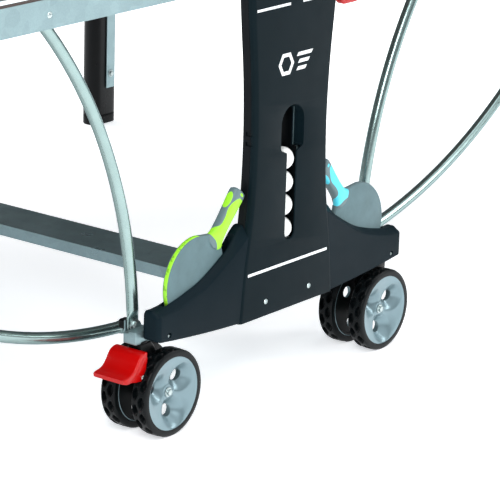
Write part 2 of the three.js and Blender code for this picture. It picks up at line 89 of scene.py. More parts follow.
# ---- Materials ----
def clear_material(name):
    material = bpy.data.materials.new(name)
    material.use_nodes = True
    nodes = material.node_tree.nodes
    return material, nodes["Principled BSDF"], material.node_tree


def add_node(tree, kind, **settings):
    node = tree.nodes.new(kind)
    for key, value in settings.items():
        setattr(node, key, value)
    return node


def object_coordinates(tree):
    return add_node(tree, "ShaderNodeTexCoord").outputs["Object"]


def object_axes(tree):
    """The object coordinates, one output for each axis."""
    split = add_node(tree, "ShaderNodeSeparateXYZ")
    tree.links.new(object_coordinates(tree), split.inputs["Vector"])
    return split.outputs


def noise(tree, scale, detail=3.0, roughness=0.5):
    """A noise texture's value in object coordinates."""
    texture = add_node(tree, "ShaderNodeTexNoise")
    texture.inputs["Scale"].default_value = scale
    texture.inputs["Detail"].default_value = detail
    texture.inputs["Roughness"].default_value = roughness
    tree.links.new(object_coordinates(tree), texture.inputs["Vector"])
    return texture.outputs["Fac"]


def ramp(tree, value, stops):
    """Colours or grey levels along a value: stops is a list of (position, colour or grey)."""
    node = add_node(tree, "ShaderNodeValToRGB")
    elements = node.color_ramp.elements
    while len(elements) < len(stops):
        elements.new(0.5)
    for element, (position, colour) in zip(elements, stops):
        element.position = position
        element.color = (*([colour] * 3 if isinstance(colour, float) else colour), 1.0)
    tree.links.new(value, node.inputs["Fac"])
    return node.outputs["Color"]


def bump(tree, height, strength, distance):
    node = add_node(tree, "ShaderNodeBump")
    node.inputs["Strength"].default_value = strength
    node.inputs["Distance"].default_value = distance
    tree.links.new(height, node.inputs["Height"])
    return node.outputs["Normal"]


def shade(colour, amount):
    """A colour made lighter (amount above 1) or darker."""
    return tuple(min(1.0, channel * amount) for channel in colour)


def linear(red, green, blue):
    """An sRGB colour, 0 to 255, as linear values."""
    def channel(value):
        value /= 255
        return value / 12.92 if value <= 0.04045 else ((value + 0.055) / 1.055) ** 2.4
    return tuple(channel(value) for value in (red, green, blue))


SPANGLE_SCALE = 55.0


def galvanised(name, colour, roughness=0.36):
    """Zinc-coated steel: a faint spangle in the colour and patches in the gloss."""
    material, shader, tree = clear_material(name)
    cells = add_node(tree, "ShaderNodeTexVoronoi")
    cells.inputs["Scale"].default_value = SPANGLE_SCALE
    tree.links.new(object_coordinates(tree), cells.inputs["Vector"])
    grain = combine(tree, "ADD", combine(tree, "MULTIPLY", cells.outputs["Color"], 0.45),
                    combine(tree, "MULTIPLY", noise(tree, 420.0, 2.0), 0.55))
    tone = ramp(tree, grain, [(0.2, shade(colour, 0.86)), (0.8, shade(colour, 1.1))])
    tree.links.new(tone, shader.inputs["Base Color"])
    patches = ramp(tree, noise(tree, 18.0, 5.0), [(0.3, roughness - 0.06), (0.7, roughness + 0.08)])
    tree.links.new(patches, shader.inputs["Roughness"])
    tree.links.new(bump(tree, noise(tree, 260.0, 2.0), 0.05, 0.0003), shader.inputs["Normal"])
    shader.inputs["Metallic"].default_value = 0.8
    return material


def drawn_tube(name, colour, roughness=0.2):
    """Bright zinc-plated steel: smooth, with a faint cloudiness in its colour and gloss."""
    material, shader, tree = clear_material(name)
    tone = ramp(tree, noise(tree, 30.0, 6.0), [(0.3, shade(colour, 0.93)), (0.75, shade(colour, 1.05))])
    tree.links.new(tone, shader.inputs["Base Color"])
    cloud = noise(tree, 90.0, 4.0)
    tree.links.new(ramp(tree, cloud, [(0.3, roughness), (0.8, roughness + 0.08)]), shader.inputs["Roughness"])
    tree.links.new(bump(tree, noise(tree, 600.0, 2.0), 0.02, 0.0001), shader.inputs["Normal"])
    shader.inputs["Metallic"].default_value = 0.92
    shader.inputs["Specular Tint"].default_value = (0.45, 0.5, 0.52, 1.0)
    return material


def moulded_plastic(name, colour, roughness=0.4, grain=900.0, grain_depth=0.12, specular=0.35):
    """Injection-moulded plastic: a fine grain, and a slight drift of colour and gloss."""
    material, shader, tree = clear_material(name)
    drift = noise(tree, 9.0, 4.0)
    tree.links.new(ramp(tree, drift, [(0.3, shade(colour, 0.92)), (0.7, shade(colour, 1.08))]),
                   shader.inputs["Base Color"])
    tree.links.new(ramp(tree, noise(tree, 30.0, 5.0), [(0.3, roughness - 0.04), (0.7, roughness + 0.05)]),
                   shader.inputs["Roughness"])
    tree.links.new(bump(tree, noise(tree, grain, 2.0), grain_depth, 0.0002), shader.inputs["Normal"])
    shader.inputs["Specular IOR Level"].default_value = specular
    return material


def glossy_plastic(name, colour):
    material = moulded_plastic(name, colour, 0.34, 300.0, 0.03, 0.16)
    shader = material.node_tree.nodes["Principled BSDF"]
    shader.inputs["Coat Weight"].default_value = 0.25
    shader.inputs["Coat Roughness"].default_value = 0.12
    return material


def rubber(name, colour, roughness=0.7, pimples=0.0, specular=0.35):
    """Rubber with a dull, slightly dusty surface, and pimples in rows on a bat."""
    material, shader, tree = clear_material(name)
    tone = ramp(tree, noise(tree, 25.0, 6.0, 0.6), [(0.35, shade(colour, 0.85)), (0.75, shade(colour, 1.15))])
    tree.links.new(tone, shader.inputs["Base Color"])
    shader.inputs["Roughness"].default_value = roughness
    shader.inputs["Specular IOR Level"].default_value = specular
    height = noise(tree, 1200.0, 2.0)
    if pimples:
        dots = add_node(tree, "ShaderNodeTexVoronoi")
        dots.inputs["Scale"].default_value = pimples
        dots.inputs["Randomness"].default_value = 0.0
        tree.links.new(object_coordinates(tree), dots.inputs["Vector"])
        height = dots.outputs["Distance"]
    tree.links.new(bump(tree, height, 0.25, 0.0003), shader.inputs["Normal"])
    return material


def axis_mask(tree, axis, low, high, mirrored=False):
    """1 where an object coordinate (or its size, if mirrored) is between low and high."""
    value = object_axes(tree)[axis]
    if mirrored:
        size = add_node(tree, "ShaderNodeMath", operation="ABSOLUTE")
        tree.links.new(value, size.inputs[0])
        value = size.outputs[0]
    above = add_node(tree, "ShaderNodeMath", operation="GREATER_THAN")
    above.inputs[1].default_value = low
    below = add_node(tree, "ShaderNodeMath", operation="LESS_THAN")
    below.inputs[1].default_value = high
    tree.links.new(value, above.inputs[0])
    tree.links.new(value, below.inputs[0])
    return combine(tree, "MULTIPLY", above.outputs[0], below.outputs[0])


def combine(tree, operation, first, second):
    node = add_node(tree, "ShaderNodeMath", operation=operation)
    for socket, value in zip(node.inputs, (first, second)):
        if isinstance(value, (int, float)):
            socket.default_value = value
        else:
            tree.links.new(value, socket)
    return node.outputs[0]


def mix_colour(tree, mask, first, second):
    node = add_node(tree, "ShaderNodeMix", data_type="RGBA")
    for socket, value in ((node.inputs[6], first), (node.inputs[7], second)):
        if isinstance(value, tuple):
            socket.default_value = (*value, 1.0)
        else:
            tree.links.new(value, socket)
    tree.links.new(mask, node.inputs[0])
    return node.outputs[2]


def playing_surface():
    """Dark slate laminate with white side, end and centre lines and a dark brown edge."""
    material, shader, tree = clear_material("playing_surface")
    slate = ramp(tree, noise(tree, 14.0, 6.0), [(0.3, linear(42, 54, 58)), (0.7, linear(48, 60, 64))])
    line_width = 20 * MM
    side_lines = axis_mask(tree, "Y", SIDE_Y - line_width, SIDE_Y - 0.0005, True)
    end_lines = axis_mask(tree, "X", HALF_LENGTH - line_width, HALF_LENGTH - 0.0005, True)
    centre_line = axis_mask(tree, "Y", -1.0, 1.5 * MM, True)
    lines = combine(tree, "MAXIMUM", combine(tree, "MAXIMUM", side_lines, end_lines), centre_line)
    top = axis_mask(tree, "Z", TABLE_TOP - 0.0004, TABLE_TOP + 1.0)
    painted = mix_colour(tree, combine(tree, "MULTIPLY", lines, top), slate, linear(226, 236, 240))
    coloured = mix_colour(tree, top, linear(52, 38, 34), painted)
    tree.links.new(coloured, shader.inputs["Base Color"])
    shader.inputs["Roughness"].default_value = 0.55
    tree.links.new(bump(tree, noise(tree, 1500.0, 2.0), 0.1, 0.0002), shader.inputs["Normal"])
    return material


def curve_node(tree, value, points, low, high):
    """A smooth curve through (value, result) points; results run from low to high."""
    node = add_node(tree, "ShaderNodeFloatCurve")
    first, last = points[0][0], points[-1][0]
    curve = node.mapping.curves[0]
    while len(curve.points) < len(points):
        curve.points.new(0.5, 0.5)
    for point, (u, v) in zip(curve.points, points):
        point.location = ((u - first) / (last - first), (v - low) / (high - low))
    node.mapping.update()
    scaled = combine(tree, "DIVIDE", combine(tree, "SUBTRACT", value, first), last - first)
    tree.links.new(scaled, node.inputs["Value"])
    return combine(tree, "ADD", combine(tree, "MULTIPLY", node.outputs[0], high - low), low)


def bat_handle_material(name, colour, lean):
    """Grey rubber with coloured grips, in the handle's own frame: X along it and Z across it.

    The grips wrap round from the front to the side: lean is how much the across and through axes count.
    """
    material, shader, tree = clear_material(name)
    axes = object_axes(tree)
    along, across = axes["X"], axes["Z"]

    def ellipse(u, v, ru, rv):
        du = combine(tree, "DIVIDE", combine(tree, "SUBTRACT", along, u), ru)
        dv = combine(tree, "DIVIDE", combine(tree, "SUBTRACT", round_it, v), rv)
        total = combine(tree, "ADD", combine(tree, "MULTIPLY", du, du), combine(tree, "MULTIPLY", dv, dv))
        return combine(tree, "LESS_THAN", total, 1.0)

    across_share, through_share = lean
    round_it = combine(tree, "ADD", combine(tree, "MULTIPLY", across, across_share),
                       combine(tree, "MULTIPLY", axes["Y"], through_share))
    throat_edge = curve_node(tree, along, [(0.060, -0.016), (0.0675, -0.007), (0.073, 0.004), (0.0765, 0.020),
                                           (0.082, 0.024)], -0.02, 0.03)
    throat = combine(tree, "MULTIPLY", combine(tree, "LESS_THAN", along, 0.080),
                     combine(tree, "LESS_THAN", across, throat_edge))
    edge = curve_node(tree, along, [(0.079, 0.016), (0.088, 0.012), (0.093, 0.0072), (0.1005, -0.0004),
                                    (0.1135, -0.0016), (0.1315, 0.0), (0.145, -0.0035), (0.158, -0.011)],
                      -0.012, 0.018)
    band = combine(tree, "MULTIPLY", combine(tree, "GREATER_THAN", along, 0.0795),
                   combine(tree, "MULTIPLY", combine(tree, "LESS_THAN", round_it, edge),
                           combine(tree, "LESS_THAN", along, 0.1565)))
    mask = combine(tree, "MAXIMUM", throat, band)
    mask = combine(tree, "MAXIMUM", mask, ellipse(0.1445, 0.0075, 0.0145, 0.0062))
    mask = combine(tree, "MAXIMUM", mask, ellipse(0.163, -0.010, 0.0024, 0.0026))
    grey = linear(92, 114, 118)
    tree.links.new(mix_colour(tree, mask, grey, colour), shader.inputs["Base Color"])
    tree.links.new(bump(tree, noise(tree, 700.0, 2.0), 0.08, 0.0002), shader.inputs["Normal"])
    shader.inputs["Roughness"].default_value = 0.5
    return material


def bat_rim_material(name, colour, shoulder_from):
    """The blade's coloured edge with its row of fine dashes; grey at the shoulders by the handle."""
    material, shader, tree = clear_material(name)
    dashes = add_node(tree, "ShaderNodeTexNoise")
    dashes.inputs["Scale"].default_value = 160.0
    tree.links.new(object_coordinates(tree), dashes.inputs["Vector"])
    tone = ramp(tree, dashes.outputs["Fac"], [(0.40, shade(colour, 0.6)), (0.46, colour)])
    shoulder = combine(tree, "GREATER_THAN", object_axes(tree)["X"], shoulder_from)
    tree.links.new(mix_colour(tree, shoulder, tone, linear(84, 104, 108)), shader.inputs["Base Color"])
    shader.inputs["Roughness"].default_value = 0.45
    return material


LIME = linear(150, 222, 44)
CYAN = linear(78, 208, 228)
MATERIALS = {
    "galvanised": galvanised("galvanised", linear(132, 154, 158)),
    "beam": galvanised("galvanised_beam", linear(120, 142, 147), 0.32),
    "tube": drawn_tube("zinc_tube", linear(142, 162, 160)),
    "bolt": drawn_tube("zinc_bolt", linear(180, 192, 192), 0.25),
    "black_plastic": moulded_plastic("black_plastic", linear(12, 25, 31), 0.42, specular=0.05),
    "black_panel": moulded_plastic("black_panel", linear(10, 23, 28), 0.42, specular=0.045),
    "black_side": moulded_plastic("black_side", linear(8, 12, 16), 0.42, specular=0.1),
    "black_housing": moulded_plastic("black_housing", linear(6, 9, 10), 0.36, 500.0, specular=0.16),
    "black_leg": moulded_plastic("black_leg", linear(4, 6, 8), 0.3, 350.0, 0.04, 0.12),
    "black_post": moulded_plastic("black_post", linear(12, 16, 18), 0.4, specular=0.2),
    "chute": moulded_plastic("black_chute", linear(4, 7, 9), 0.5, specular=0.08),
    "red": glossy_plastic("red_plastic", linear(172, 0, 0)),
    "tyre": rubber("tyre_rubber", linear(5, 9, 11), 0.4, specular=0.14),
    "hub": moulded_plastic("silver_plastic", linear(118, 140, 147), 0.32, 250.0, 0.0, 0.5),
    "bat_face": rubber("bat_rubber", linear(88, 112, 117), 0.6, 520.0),
    "lime_rim": bat_rim_material("lime_rim", LIME, 0.0605),
    "cyan_rim": bat_rim_material("cyan_rim", CYAN, 0.02),
    "lime_handle": bat_handle_material("lime_handle", LIME, (0.592, 0.806)),
    "cyan_handle": bat_handle_material("cyan_handle", CYAN, (0.852, 0.524)),
    "ball": moulded_plastic("white_celluloid", linear(240, 242, 240), 0.35, 200.0, 0.03),
    "white": moulded_plastic("white_paint", linear(236, 240, 242), 0.5, 400.0, 0.05),
    "net_cord": moulded_plastic("net_cord", linear(30, 36, 40), 0.85, 2500.0, 0.5),
    "net_tape": moulded_plastic("net_tape", linear(228, 232, 232), 0.85, 2500.0, 0.5),
    "surface": playing_surface(),
}
MATERIALS["hub"].node_tree.nodes["Principled BSDF"].inputs["Metallic"].default_value = 0.55


# ---- Mesh helpers ----
def in_mm(points):
    """Points given in millimetres, in metres."""
    return [(first * MM, second * MM) for first, second in points]


def mesh_object(name, bm):
    bmesh.ops.remove_doubles(bm, verts=bm.verts, dist=1e-6)
    bmesh.ops.recalc_face_normals(bm, faces=bm.faces)
    mesh = bpy.data.meshes.new(name)
    bm.to_mesh(mesh)
    bm.free()
    obj = bpy.data.objects.new(name, mesh)
    bpy.context.scene.collection.objects.link(obj)
    return obj


def loft(name, sections, capped=True, closed=True, ring=False):
    """A skin through sections with equal numbers of points; ring joins the last section to the first."""
    bm = bmesh.new()
    rows = [[bm.verts.new(point) for point in section] for section in sections]
    count = len(rows[0])
    for lower, upper in zip(rows, rows[1:] + ([rows[0]] if ring else [])):
        for i in range(count if closed else count - 1):
            j = (i + 1) % count
            bm.faces.new((lower[i], lower[j], upper[j], upper[i]))
    if capped and closed and not ring:
        bm.faces.new(rows[0][::-1])
        bm.faces.new(rows[-1])
    return mesh_object(name, bm)


def prism(name, outline, y0, y1):
    """An outline of (x, z) points, filled between two Y planes."""
    return loft(name, [[(x, y, z) for x, z in outline] for y in (y0, y1)])


def block(name, low, high):
    outline = [(low[0], low[2]), (high[0], low[2]), (high[0], high[2]), (low[0], high[2])]
    return prism(name, outline, low[1], high[1])


def lathe(name, profile, steps):
    """Turns a profile of (radius, depth) about the local Y axis."""
    sections = []
    for k in range(steps):
        angle = 2 * math.pi * k / steps
        sections.append([(r * math.cos(angle), depth, r * math.sin(angle)) for r, depth in profile])
    return loft(name, sections, capped=False, closed=False, ring=True)


def apply_modifiers(obj):
    bpy.context.view_layer.update()
    evaluated = obj.evaluated_get(bpy.context.evaluated_depsgraph_get())
    mesh = bpy.data.meshes.new_from_object(evaluated)
    obj.modifiers.clear()
    obj.data = mesh
    return obj


def bevel(obj, width, segments=3, angle=35):
    modifier = obj.modifiers.new("bevel", "BEVEL")
    modifier.width = width
    modifier.segments = segments
    modifier.limit_method = "ANGLE"
    modifier.angle_limit = math.radians(angle)
    modifier.miter_outer = "MITER_ARC"
    return apply_modifiers(obj)


def boolean(obj, others):
    """Cuts the other objects out of this one and removes them."""
    for other in others:
        modifier = obj.modifiers.new("boolean", "BOOLEAN")
        modifier.operation = "DIFFERENCE"
        modifier.solver = "EXACT"
        modifier.object = other
    apply_modifiers(obj)
    for other in others:
        bpy.data.objects.remove(other)
    return obj


def smooth(obj, angle=35):
    obj.data.shade_smooth()
    obj.data.set_sharp_from_angle(angle=math.radians(angle))
    return obj


def paint(obj, key):
    obj.data.materials.clear()
    obj.data.materials.append(MATERIALS[key])
    return obj


def copy_of(obj, name, matrix):
    twin = obj.copy()
    twin.name = name
    twin.matrix_world = matrix @ obj.matrix_basis
    bpy.context.scene.collection.objects.link(twin)
    return twin


def mirrored(obj, name):
    """The object's mirror image in X, as a mesh of its own."""
    twin = obj.copy()
    twin.data = obj.data.copy()
    twin.name = name
    twin.data.transform(Matrix.Diagonal((-1, 1, 1, 1)) @ obj.matrix_basis)
    twin.matrix_world = Matrix.Identity(4)
    twin.data.flip_normals()
    bpy.context.scene.collection.objects.link(twin)
    return twin


def place(obj, body, slot, *replaced):
    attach(obj, body)
    if replaced:
        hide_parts(*replaced)
    return obj


def near_and_far(obj, slot, body="base", replaced=None):
    """The object and its far copy, on one body; replaced is a CAD node's name without its end."""
    name = obj.name
    obj.name = f"{name}_near"
    far = copy_of(obj, f"{name}_far", HALF_TURN)
    for piece, end in ((obj, "near"), (far, "far")):
        place(piece, body, slot, *([f"{replaced}_{end}"] if replaced else []))
    return obj, far


def at_corners(obj, slot, bodies, replaced=None):
    """A near right piece at all four corners; bodies and replaced are patterns with {y} and {x}."""
    name = obj.name
    left = mirrored(obj, f"{name}_near_left")
    obj.name = f"{name}_near_right"
    pieces = {
        ("near", "right"): obj,
        ("near", "left"): left,
        ("far", "left"): copy_of(obj, f"{name}_far_left", HALF_TURN),
        ("far", "right"): copy_of(left, f"{name}_far_right", HALF_TURN),
    }
    for (y, x), piece in pieces.items():
        nodes = [replaced.format(y=y, x=x)] if replaced else []
        place(piece, bodies.format(y=y, x=x), slot, *nodes)
    return pieces


def spline(points, value):
    """A smooth curve through (position, value) points, read at a position."""
    if value <= points[0][0]:
        return points[0][1]
    if value >= points[-1][0]:
        return points[-1][1]
    k = next(i for i in range(len(points) - 1) if points[i + 1][0] >= value)
    x0, y0 = points[k]
    x1, y1 = points[k + 1]

    def slope(i):
        low, high = points[max(i - 1, 0)], points[min(i + 1, len(points) - 1)]
        return (high[1] - low[1]) / (high[0] - low[0])

    width = x1 - x0
    t = (value - x0) / width
    a, b = slope(k) * width, slope(k + 1) * width
    return ((2 * t**3 - 3 * t**2 + 1) * y0 + (t**3 - 2 * t**2 + t) * a
            + (3 * t**2 - 2 * t**3) * y1 + (t**3 - t**2) * b)


def smoothstep(low, high, value):
    t = min(1.0, max(0.0, (value - low) / (high - low)))
    return t * t * (3 - 2 * t)


def arc(cx, cy, radius, start, end, steps):
    """Points on an arc, angles in degrees."""
    angles = [math.radians(start + (end - start) * k / steps) for k in range(steps + 1)]
    return [(cx + radius * math.cos(a), cy + radius * math.sin(a)) for a in angles]


def bolt_head(name, radius=8.5 * MM, height=5 * MM, washer=11 * MM):
    """A hexagon head on a washer, its axis along Y and its head towards -Y, from y = 0 out."""
    ring = prism(name + "_washer", arc(0, 0, washer, 0, 345, 23), -1.6 * MM, 0)
    head = prism(name, arc(0, 0, radius, 0, 300, 5), -1.6 * MM - height, -1.5 * MM)
    bevel(head, 0.9 * MM, 2)
    bevel(ring, 0.5 * MM, 2)
    return joined(name, [head, ring])


def joined(name, objects):
    """One object holding several closed meshes."""
    bm = bmesh.new()
    for obj in objects:
        part = obj.data.copy()
        part.transform(obj.matrix_basis)
        bm.from_mesh(part)
        bpy.data.meshes.remove(part)
        bpy.data.objects.remove(obj)
    mesh = bpy.data.meshes.new(name)
    bm.to_mesh(mesh)
    bm.free()
    result = bpy.data.objects.new(name, mesh)
    bpy.context.scene.collection.objects.link(result)
    return result


# ---- Pedestal ----
COLUMN_HALF_WIDTHS = in_mm([
    (147, 130), (180, 126.5), (233, 121.2), (301, 110.3), (345, 104.5), (400, 100.8), (470, 99.6),
    (560, 103.5), (660, 113.5), (700, 117), (743, 120),
])
WING_TOP = in_mm([
    (96, 310), (112, 296), (154, 269), (211, 237.5), (257, 222.5), (300, 213), (325, 210.5), (338, 211.5),
])


def column_half(z):
    return spline(COLUMN_HALF_WIDTHS, z)


def wing_bottom(x):
    t = x / WING_END
    return (148 + 21 * t * t) * MM


def wing_section(x):
    """The wing's outline in Y and Z at a distance x from the middle, open in the middle of its top edge."""
    front_round, top_round = 9 * MM, 6 * MM
    inset = WING_END - x
    recess = 0.0
    if inset < front_round:
        recess = front_round - math.sqrt(front_round**2 - (front_round - inset) ** 2)
    drop = 0.0
    if inset < top_round:
        drop = top_round - math.sqrt(top_round**2 - (top_round - inset) ** 2)
    front = FACE_Y + recess
    top = spline(WING_TOP, x) - drop
    shoulder = 10 * MM * smoothstep(152 * MM, 118 * MM, x) * smoothstep(100 * MM, 112 * MM, x)
    low = wing_bottom(x) + 0.7 * drop
    rim = 8 * MM + shoulder
    back = WING_BACK_Y
    profile = [
        (front + 1.2 * MM, low), (front, low + 1.2 * MM), (front, top - 3.0 * MM),
        (front + 0.7 * MM, top - 1.0 * MM),
        (front + 2.4 * MM, top + 0.5 * MM), (front + 0.55 * 15 * MM, top + 0.52 * rim),
        (front + 12.5 * MM, top + 0.9 * rim), (front + 14.6 * MM, top + rim),
        (back - 3.4 * MM, top + rim), (back - 1.2 * MM, top + rim - 0.8 * MM), (back, top + rim - 3 * MM),
        (back, low + 1.2 * MM), (back - 1.2 * MM, low),
    ]
    return [(x, min(y, back), z) for y, z in profile]


def wing():
    """The right wing of the near pedestal, with its bat pocket."""
    start, end = 97 * MM, WING_END
    steps = 44
    stations = [start + (end - 10 * MM - start) * k / steps for k in range(steps + 1)]
    stations += [end - 10 * MM * (1 - k / 8) ** 1.6 for k in range(1, 8)] + [end - 0.02 * MM]
    body = loft("pedestal_wing", [wing_section(x) for x in stations])
    slot = block("slot", (127 * MM, FACE_Y + 15.6 * MM, 167.5 * MM), (306 * MM, FACE_Y + 27.6 * MM, 0.4))
    bevel(slot, 3 * MM, 3)
    screw_hole = lathe("hole", [(0, -5 * MM), (4.6 * MM, -5 * MM), (4.6 * MM, 4 * MM), (0, 4 * MM)], 20)
    screw_hole.location = (309 * MM, FACE_Y, 176 * MM)
    boolean(body, [slot, screw_hole])
    return smooth(paint(body, "black_plastic"), 38)


def u_section(half, front, back, corner, wall, z):
    """A U in plan, open to the back, with rounded front corners: round outside, and back inside."""
    left = [(-x, y) for x, y in reversed(arc(half - corner, front + corner, corner, -90, 0, 6))]
    right = arc(half - corner, front + corner, corner, -90, 0, 6)
    outside = [(-half, back), *left, *right, (half, back)]
    inner = half - wall
    radius = max(corner - wall, 0.3 * MM)
    inside_right = list(reversed(arc(inner - radius, front + wall + radius, radius, -90, 0, 4)))
    inside_left = [(-x, y) for x, y in reversed(inside_right)]
    inside = [(inner, back), *inside_right, *inside_left, (-inner, back)]
    return [(x, y, z) for x, y in outside + inside]


def heights(low, high, steps):
    return [low + (high - low) * k / steps for k in range(steps + 1)]


def keyhole(name, half_slot, half_recess, grow, front, back):
    """The ball store's opening: a finger recess with an arched top over a narrow slot."""
    bottom, neck, recess_floor, top = 270 * MM, 419 * MM, 429 * MM, 502 * MM
    h, r = half_slot + grow, half_recess + grow
    right = arc(0, bottom + half_slot, h, -90, 0, 8)
    right += [(h, neck), (h + 0.06 * (r - h), neck + 2.5 * MM)]
    right += [(r - 3 * MM, recess_floor - 1.5 * MM), (r - 0.6 * MM, recess_floor + 1 * MM),
              (r, recess_floor + 4 * MM)]
    right += arc(0, top - half_recess, r, 0, 90, 14)
    return prism(name, right + [(-x, z) for x, z in reversed(right[1:-1])], front, back)


SLOT_HALF, RECESS_HALF = 13.5 * MM, 31 * MM
RECESS_FLOOR_Y = FACE_Y + 13.4 * MM


def vents(front, depth):
    """Cutters for the two short slots in each of the column's sides."""
    cutters = []
    for z in (450 * MM, 466.6 * MM):
        for side in (-1, 1):
            x0, x1 = sorted((side * (column_half(z) - depth), side * 120 * MM))
            cutters.append(block("vent", (x0, front, z - 3.4 * MM), (x1, FACE_Y + 19 * MM, z + 3.4 * MM)))
    return cutters


def front_panel():
    """The raised front panel: a shallow tray with rounded sides, and the ball store's opening."""
    low, back = 149.5 * MM, FACE_Y + 9 * MM
    sections = []
    for z in heights(low, COLUMN_TOP, 34):
        sections.append(u_section(column_half(z) - 0.3 * MM, PANEL_FRONT_Y, back, 7.5 * MM, 2.6 * MM, z))
    panel = loft("pedestal_panel", sections)
    opening = keyhole("keyhole", SLOT_HALF, RECESS_HALF, 0.0, PANEL_FRONT_Y - 5 * MM, FACE_Y + 5 * MM)
    boolean(panel, [opening, *vents(FACE_Y + 5 * MM, 1.8 * MM)])
    bevel(panel, 0.9 * MM, 3, 50)
    return smooth(paint(panel, "black_panel"), 40)


def finger_recess():
    """The walls round the finger recess, and its floor with the arched mouth of the ball chute."""
    front = PANEL_FRONT_Y + 1.2 * MM
    walls = keyhole("finger_recess", SLOT_HALF, RECESS_HALF, 1.4 * MM, front, RECESS_FLOOR_Y + 1.2 * MM)
    hollow = keyhole("hollow", SLOT_HALF, RECESS_HALF, 0.02 * MM, front - 5 * MM, RECESS_FLOOR_Y)
    below = block("below", (-60 * MM, front - 0.01, 0.2), (60 * MM, 0, 427 * MM))
    half = 19.6 * MM
    mouth_outline = [(half, 0.4), *arc(0, 482 * MM, half, 0, 180, 24), (-half, 0.4)]
    mouth = prism("mouth", mouth_outline, front, FACE_Y + 30 * MM)
    boolean(walls, [hollow, below, mouth])
    bevel(walls, 0.8 * MM, 2, 50)
    return smooth(paint(walls, "black_panel"), 40)


def column_cover():
    """The cover's two sides and its top, behind the front panel."""
    front = FACE_Y + 9.3 * MM
    sections = [
        u_section(column_half(z), front, COLUMN_BACK_Y, 1.0 * MM, 3.0 * MM, z)
        for z in heights(152 * MM, COLUMN_TOP - 0.4 * MM, 30)
    ]
    cover = loft("pedestal_cover", sections)
    opening = block("front_opening", (-96 * MM, front - 0.01, 0.1), (96 * MM, front + 6 * MM, 0.735))
    boolean(cover, [opening, *vents(FACE_Y + 5 * MM, 2.2 * MM)])
    half = column_half(COLUMN_TOP)
    lid = block("lid", (-half + 0.4 * MM, FACE_Y + 1 * MM, COLUMN_TOP - 3.5 * MM),
                (half - 0.4 * MM, COLUMN_BACK_Y, COLUMN_TOP - 0.4 * MM))
    bevel(lid, 1 * MM, 2)
    return smooth(paint(joined("pedestal_cover", [cover, lid]), "black_side"), 40)


def ball_chute():
    """The dark trough that the balls stand in, seen through the front opening."""
    radius, wall = 20.4 * MM, 0.8 * MM
    centre_y = (BALL_BOXES[0][0].y + BALL_BOXES[0][1].y) / 2 - 0.5 * MM
    back_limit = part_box("column_frame_near")[1].y - 1.9 * MM
    sections = []
    slot_front, recess_front = FACE_Y + 4.2 * MM, RECESS_FLOOR_Y + 1.3 * MM
    for z, front in ((267.5 * MM, slot_front), (426 * MM, slot_front),
                     (427 * MM, recess_front), (519 * MM, recess_front)):
        outer = radius + wall
        outside = [(-outer, front), *arc(0, centre_y, outer, 180, 0, 16), (outer, front)]
        inside = [(radius, front), *arc(0, centre_y, radius, 0, 180, 16), (-radius, front)]
        sections.append([(x, min(y, back_limit), z) for x, y in outside + inside])
    return smooth(paint(loft("ball_chute", sections), "chute"), 50)


PAINT_FRONT, PAINT_BACK = PANEL_FRONT_Y - 0.25 * MM, PANEL_FRONT_Y + 0.4 * MM


def panel_strip(name, x0, x1, z, height):
    """A painted line, a fraction of a millimetre proud of the panel."""
    strip = block(name, (x0, PAINT_FRONT, z - height / 2), (x1, PAINT_BACK, z + height / 2))
    return paint(strip, "white")


def panel_mark():
    """A plain sporting mark: a hexagon ring with three bars beside it."""
    centre, z, outer, inner = -24 * MM, 574 * MM, 21 * MM, 14 * MM
    ring_outer = prism("mark", [(centre + x, z + y) for x, y in arc(0, 0, outer, 0, 300, 5)],
                       PAINT_FRONT, PAINT_BACK)
    ring_inner = prism("cut", [(centre + x, z + y) for x, y in arc(0, 0, inner, 0, 300, 5)],
                       PANEL_FRONT_Y - 5 * MM, PANEL_FRONT_Y + 5 * MM)
    boolean(ring_outer, [ring_inner])
    bars = [ring_outer]
    for k, (start, end) in enumerate(((4, 46), (8, 38), (4, 30))):
        height = z + (12 - 12 * k) * MM
        slant = 2.4 * MM
        outline = [(start * MM, height - 3 * MM), (end * MM - slant, height - 3 * MM),
                   (end * MM + slant, height + 3 * MM), (start * MM + 2 * slant, height + 3 * MM)]
        bars.append(prism("bar", outline, PAINT_FRONT, PAINT_BACK))
    return paint(joined("panel_mark", bars), "white")


def screw(name, radius):
    """A small pan-head screw with a cross recess, its head towards -Y at y = 0."""
    head = lathe(name, [(0, -1.6 * MM), (0.5 * radius, -1.5 * MM), (0.85 * radius, -1.0 * MM), (radius, 0),
                        (0.8 * radius, 1.0 * MM), (0, 1.0 * MM)], 20)
    arm, half = 0.62 * radius, 0.16 * radius
    slots = [block("cross", (-x, -3 * MM, -z), (x, -0.7 * MM, z)) for x, z in ((arm, half), (half, arm))]
    boolean(head, slots)
    return smooth(paint(head, "bolt"), 30)


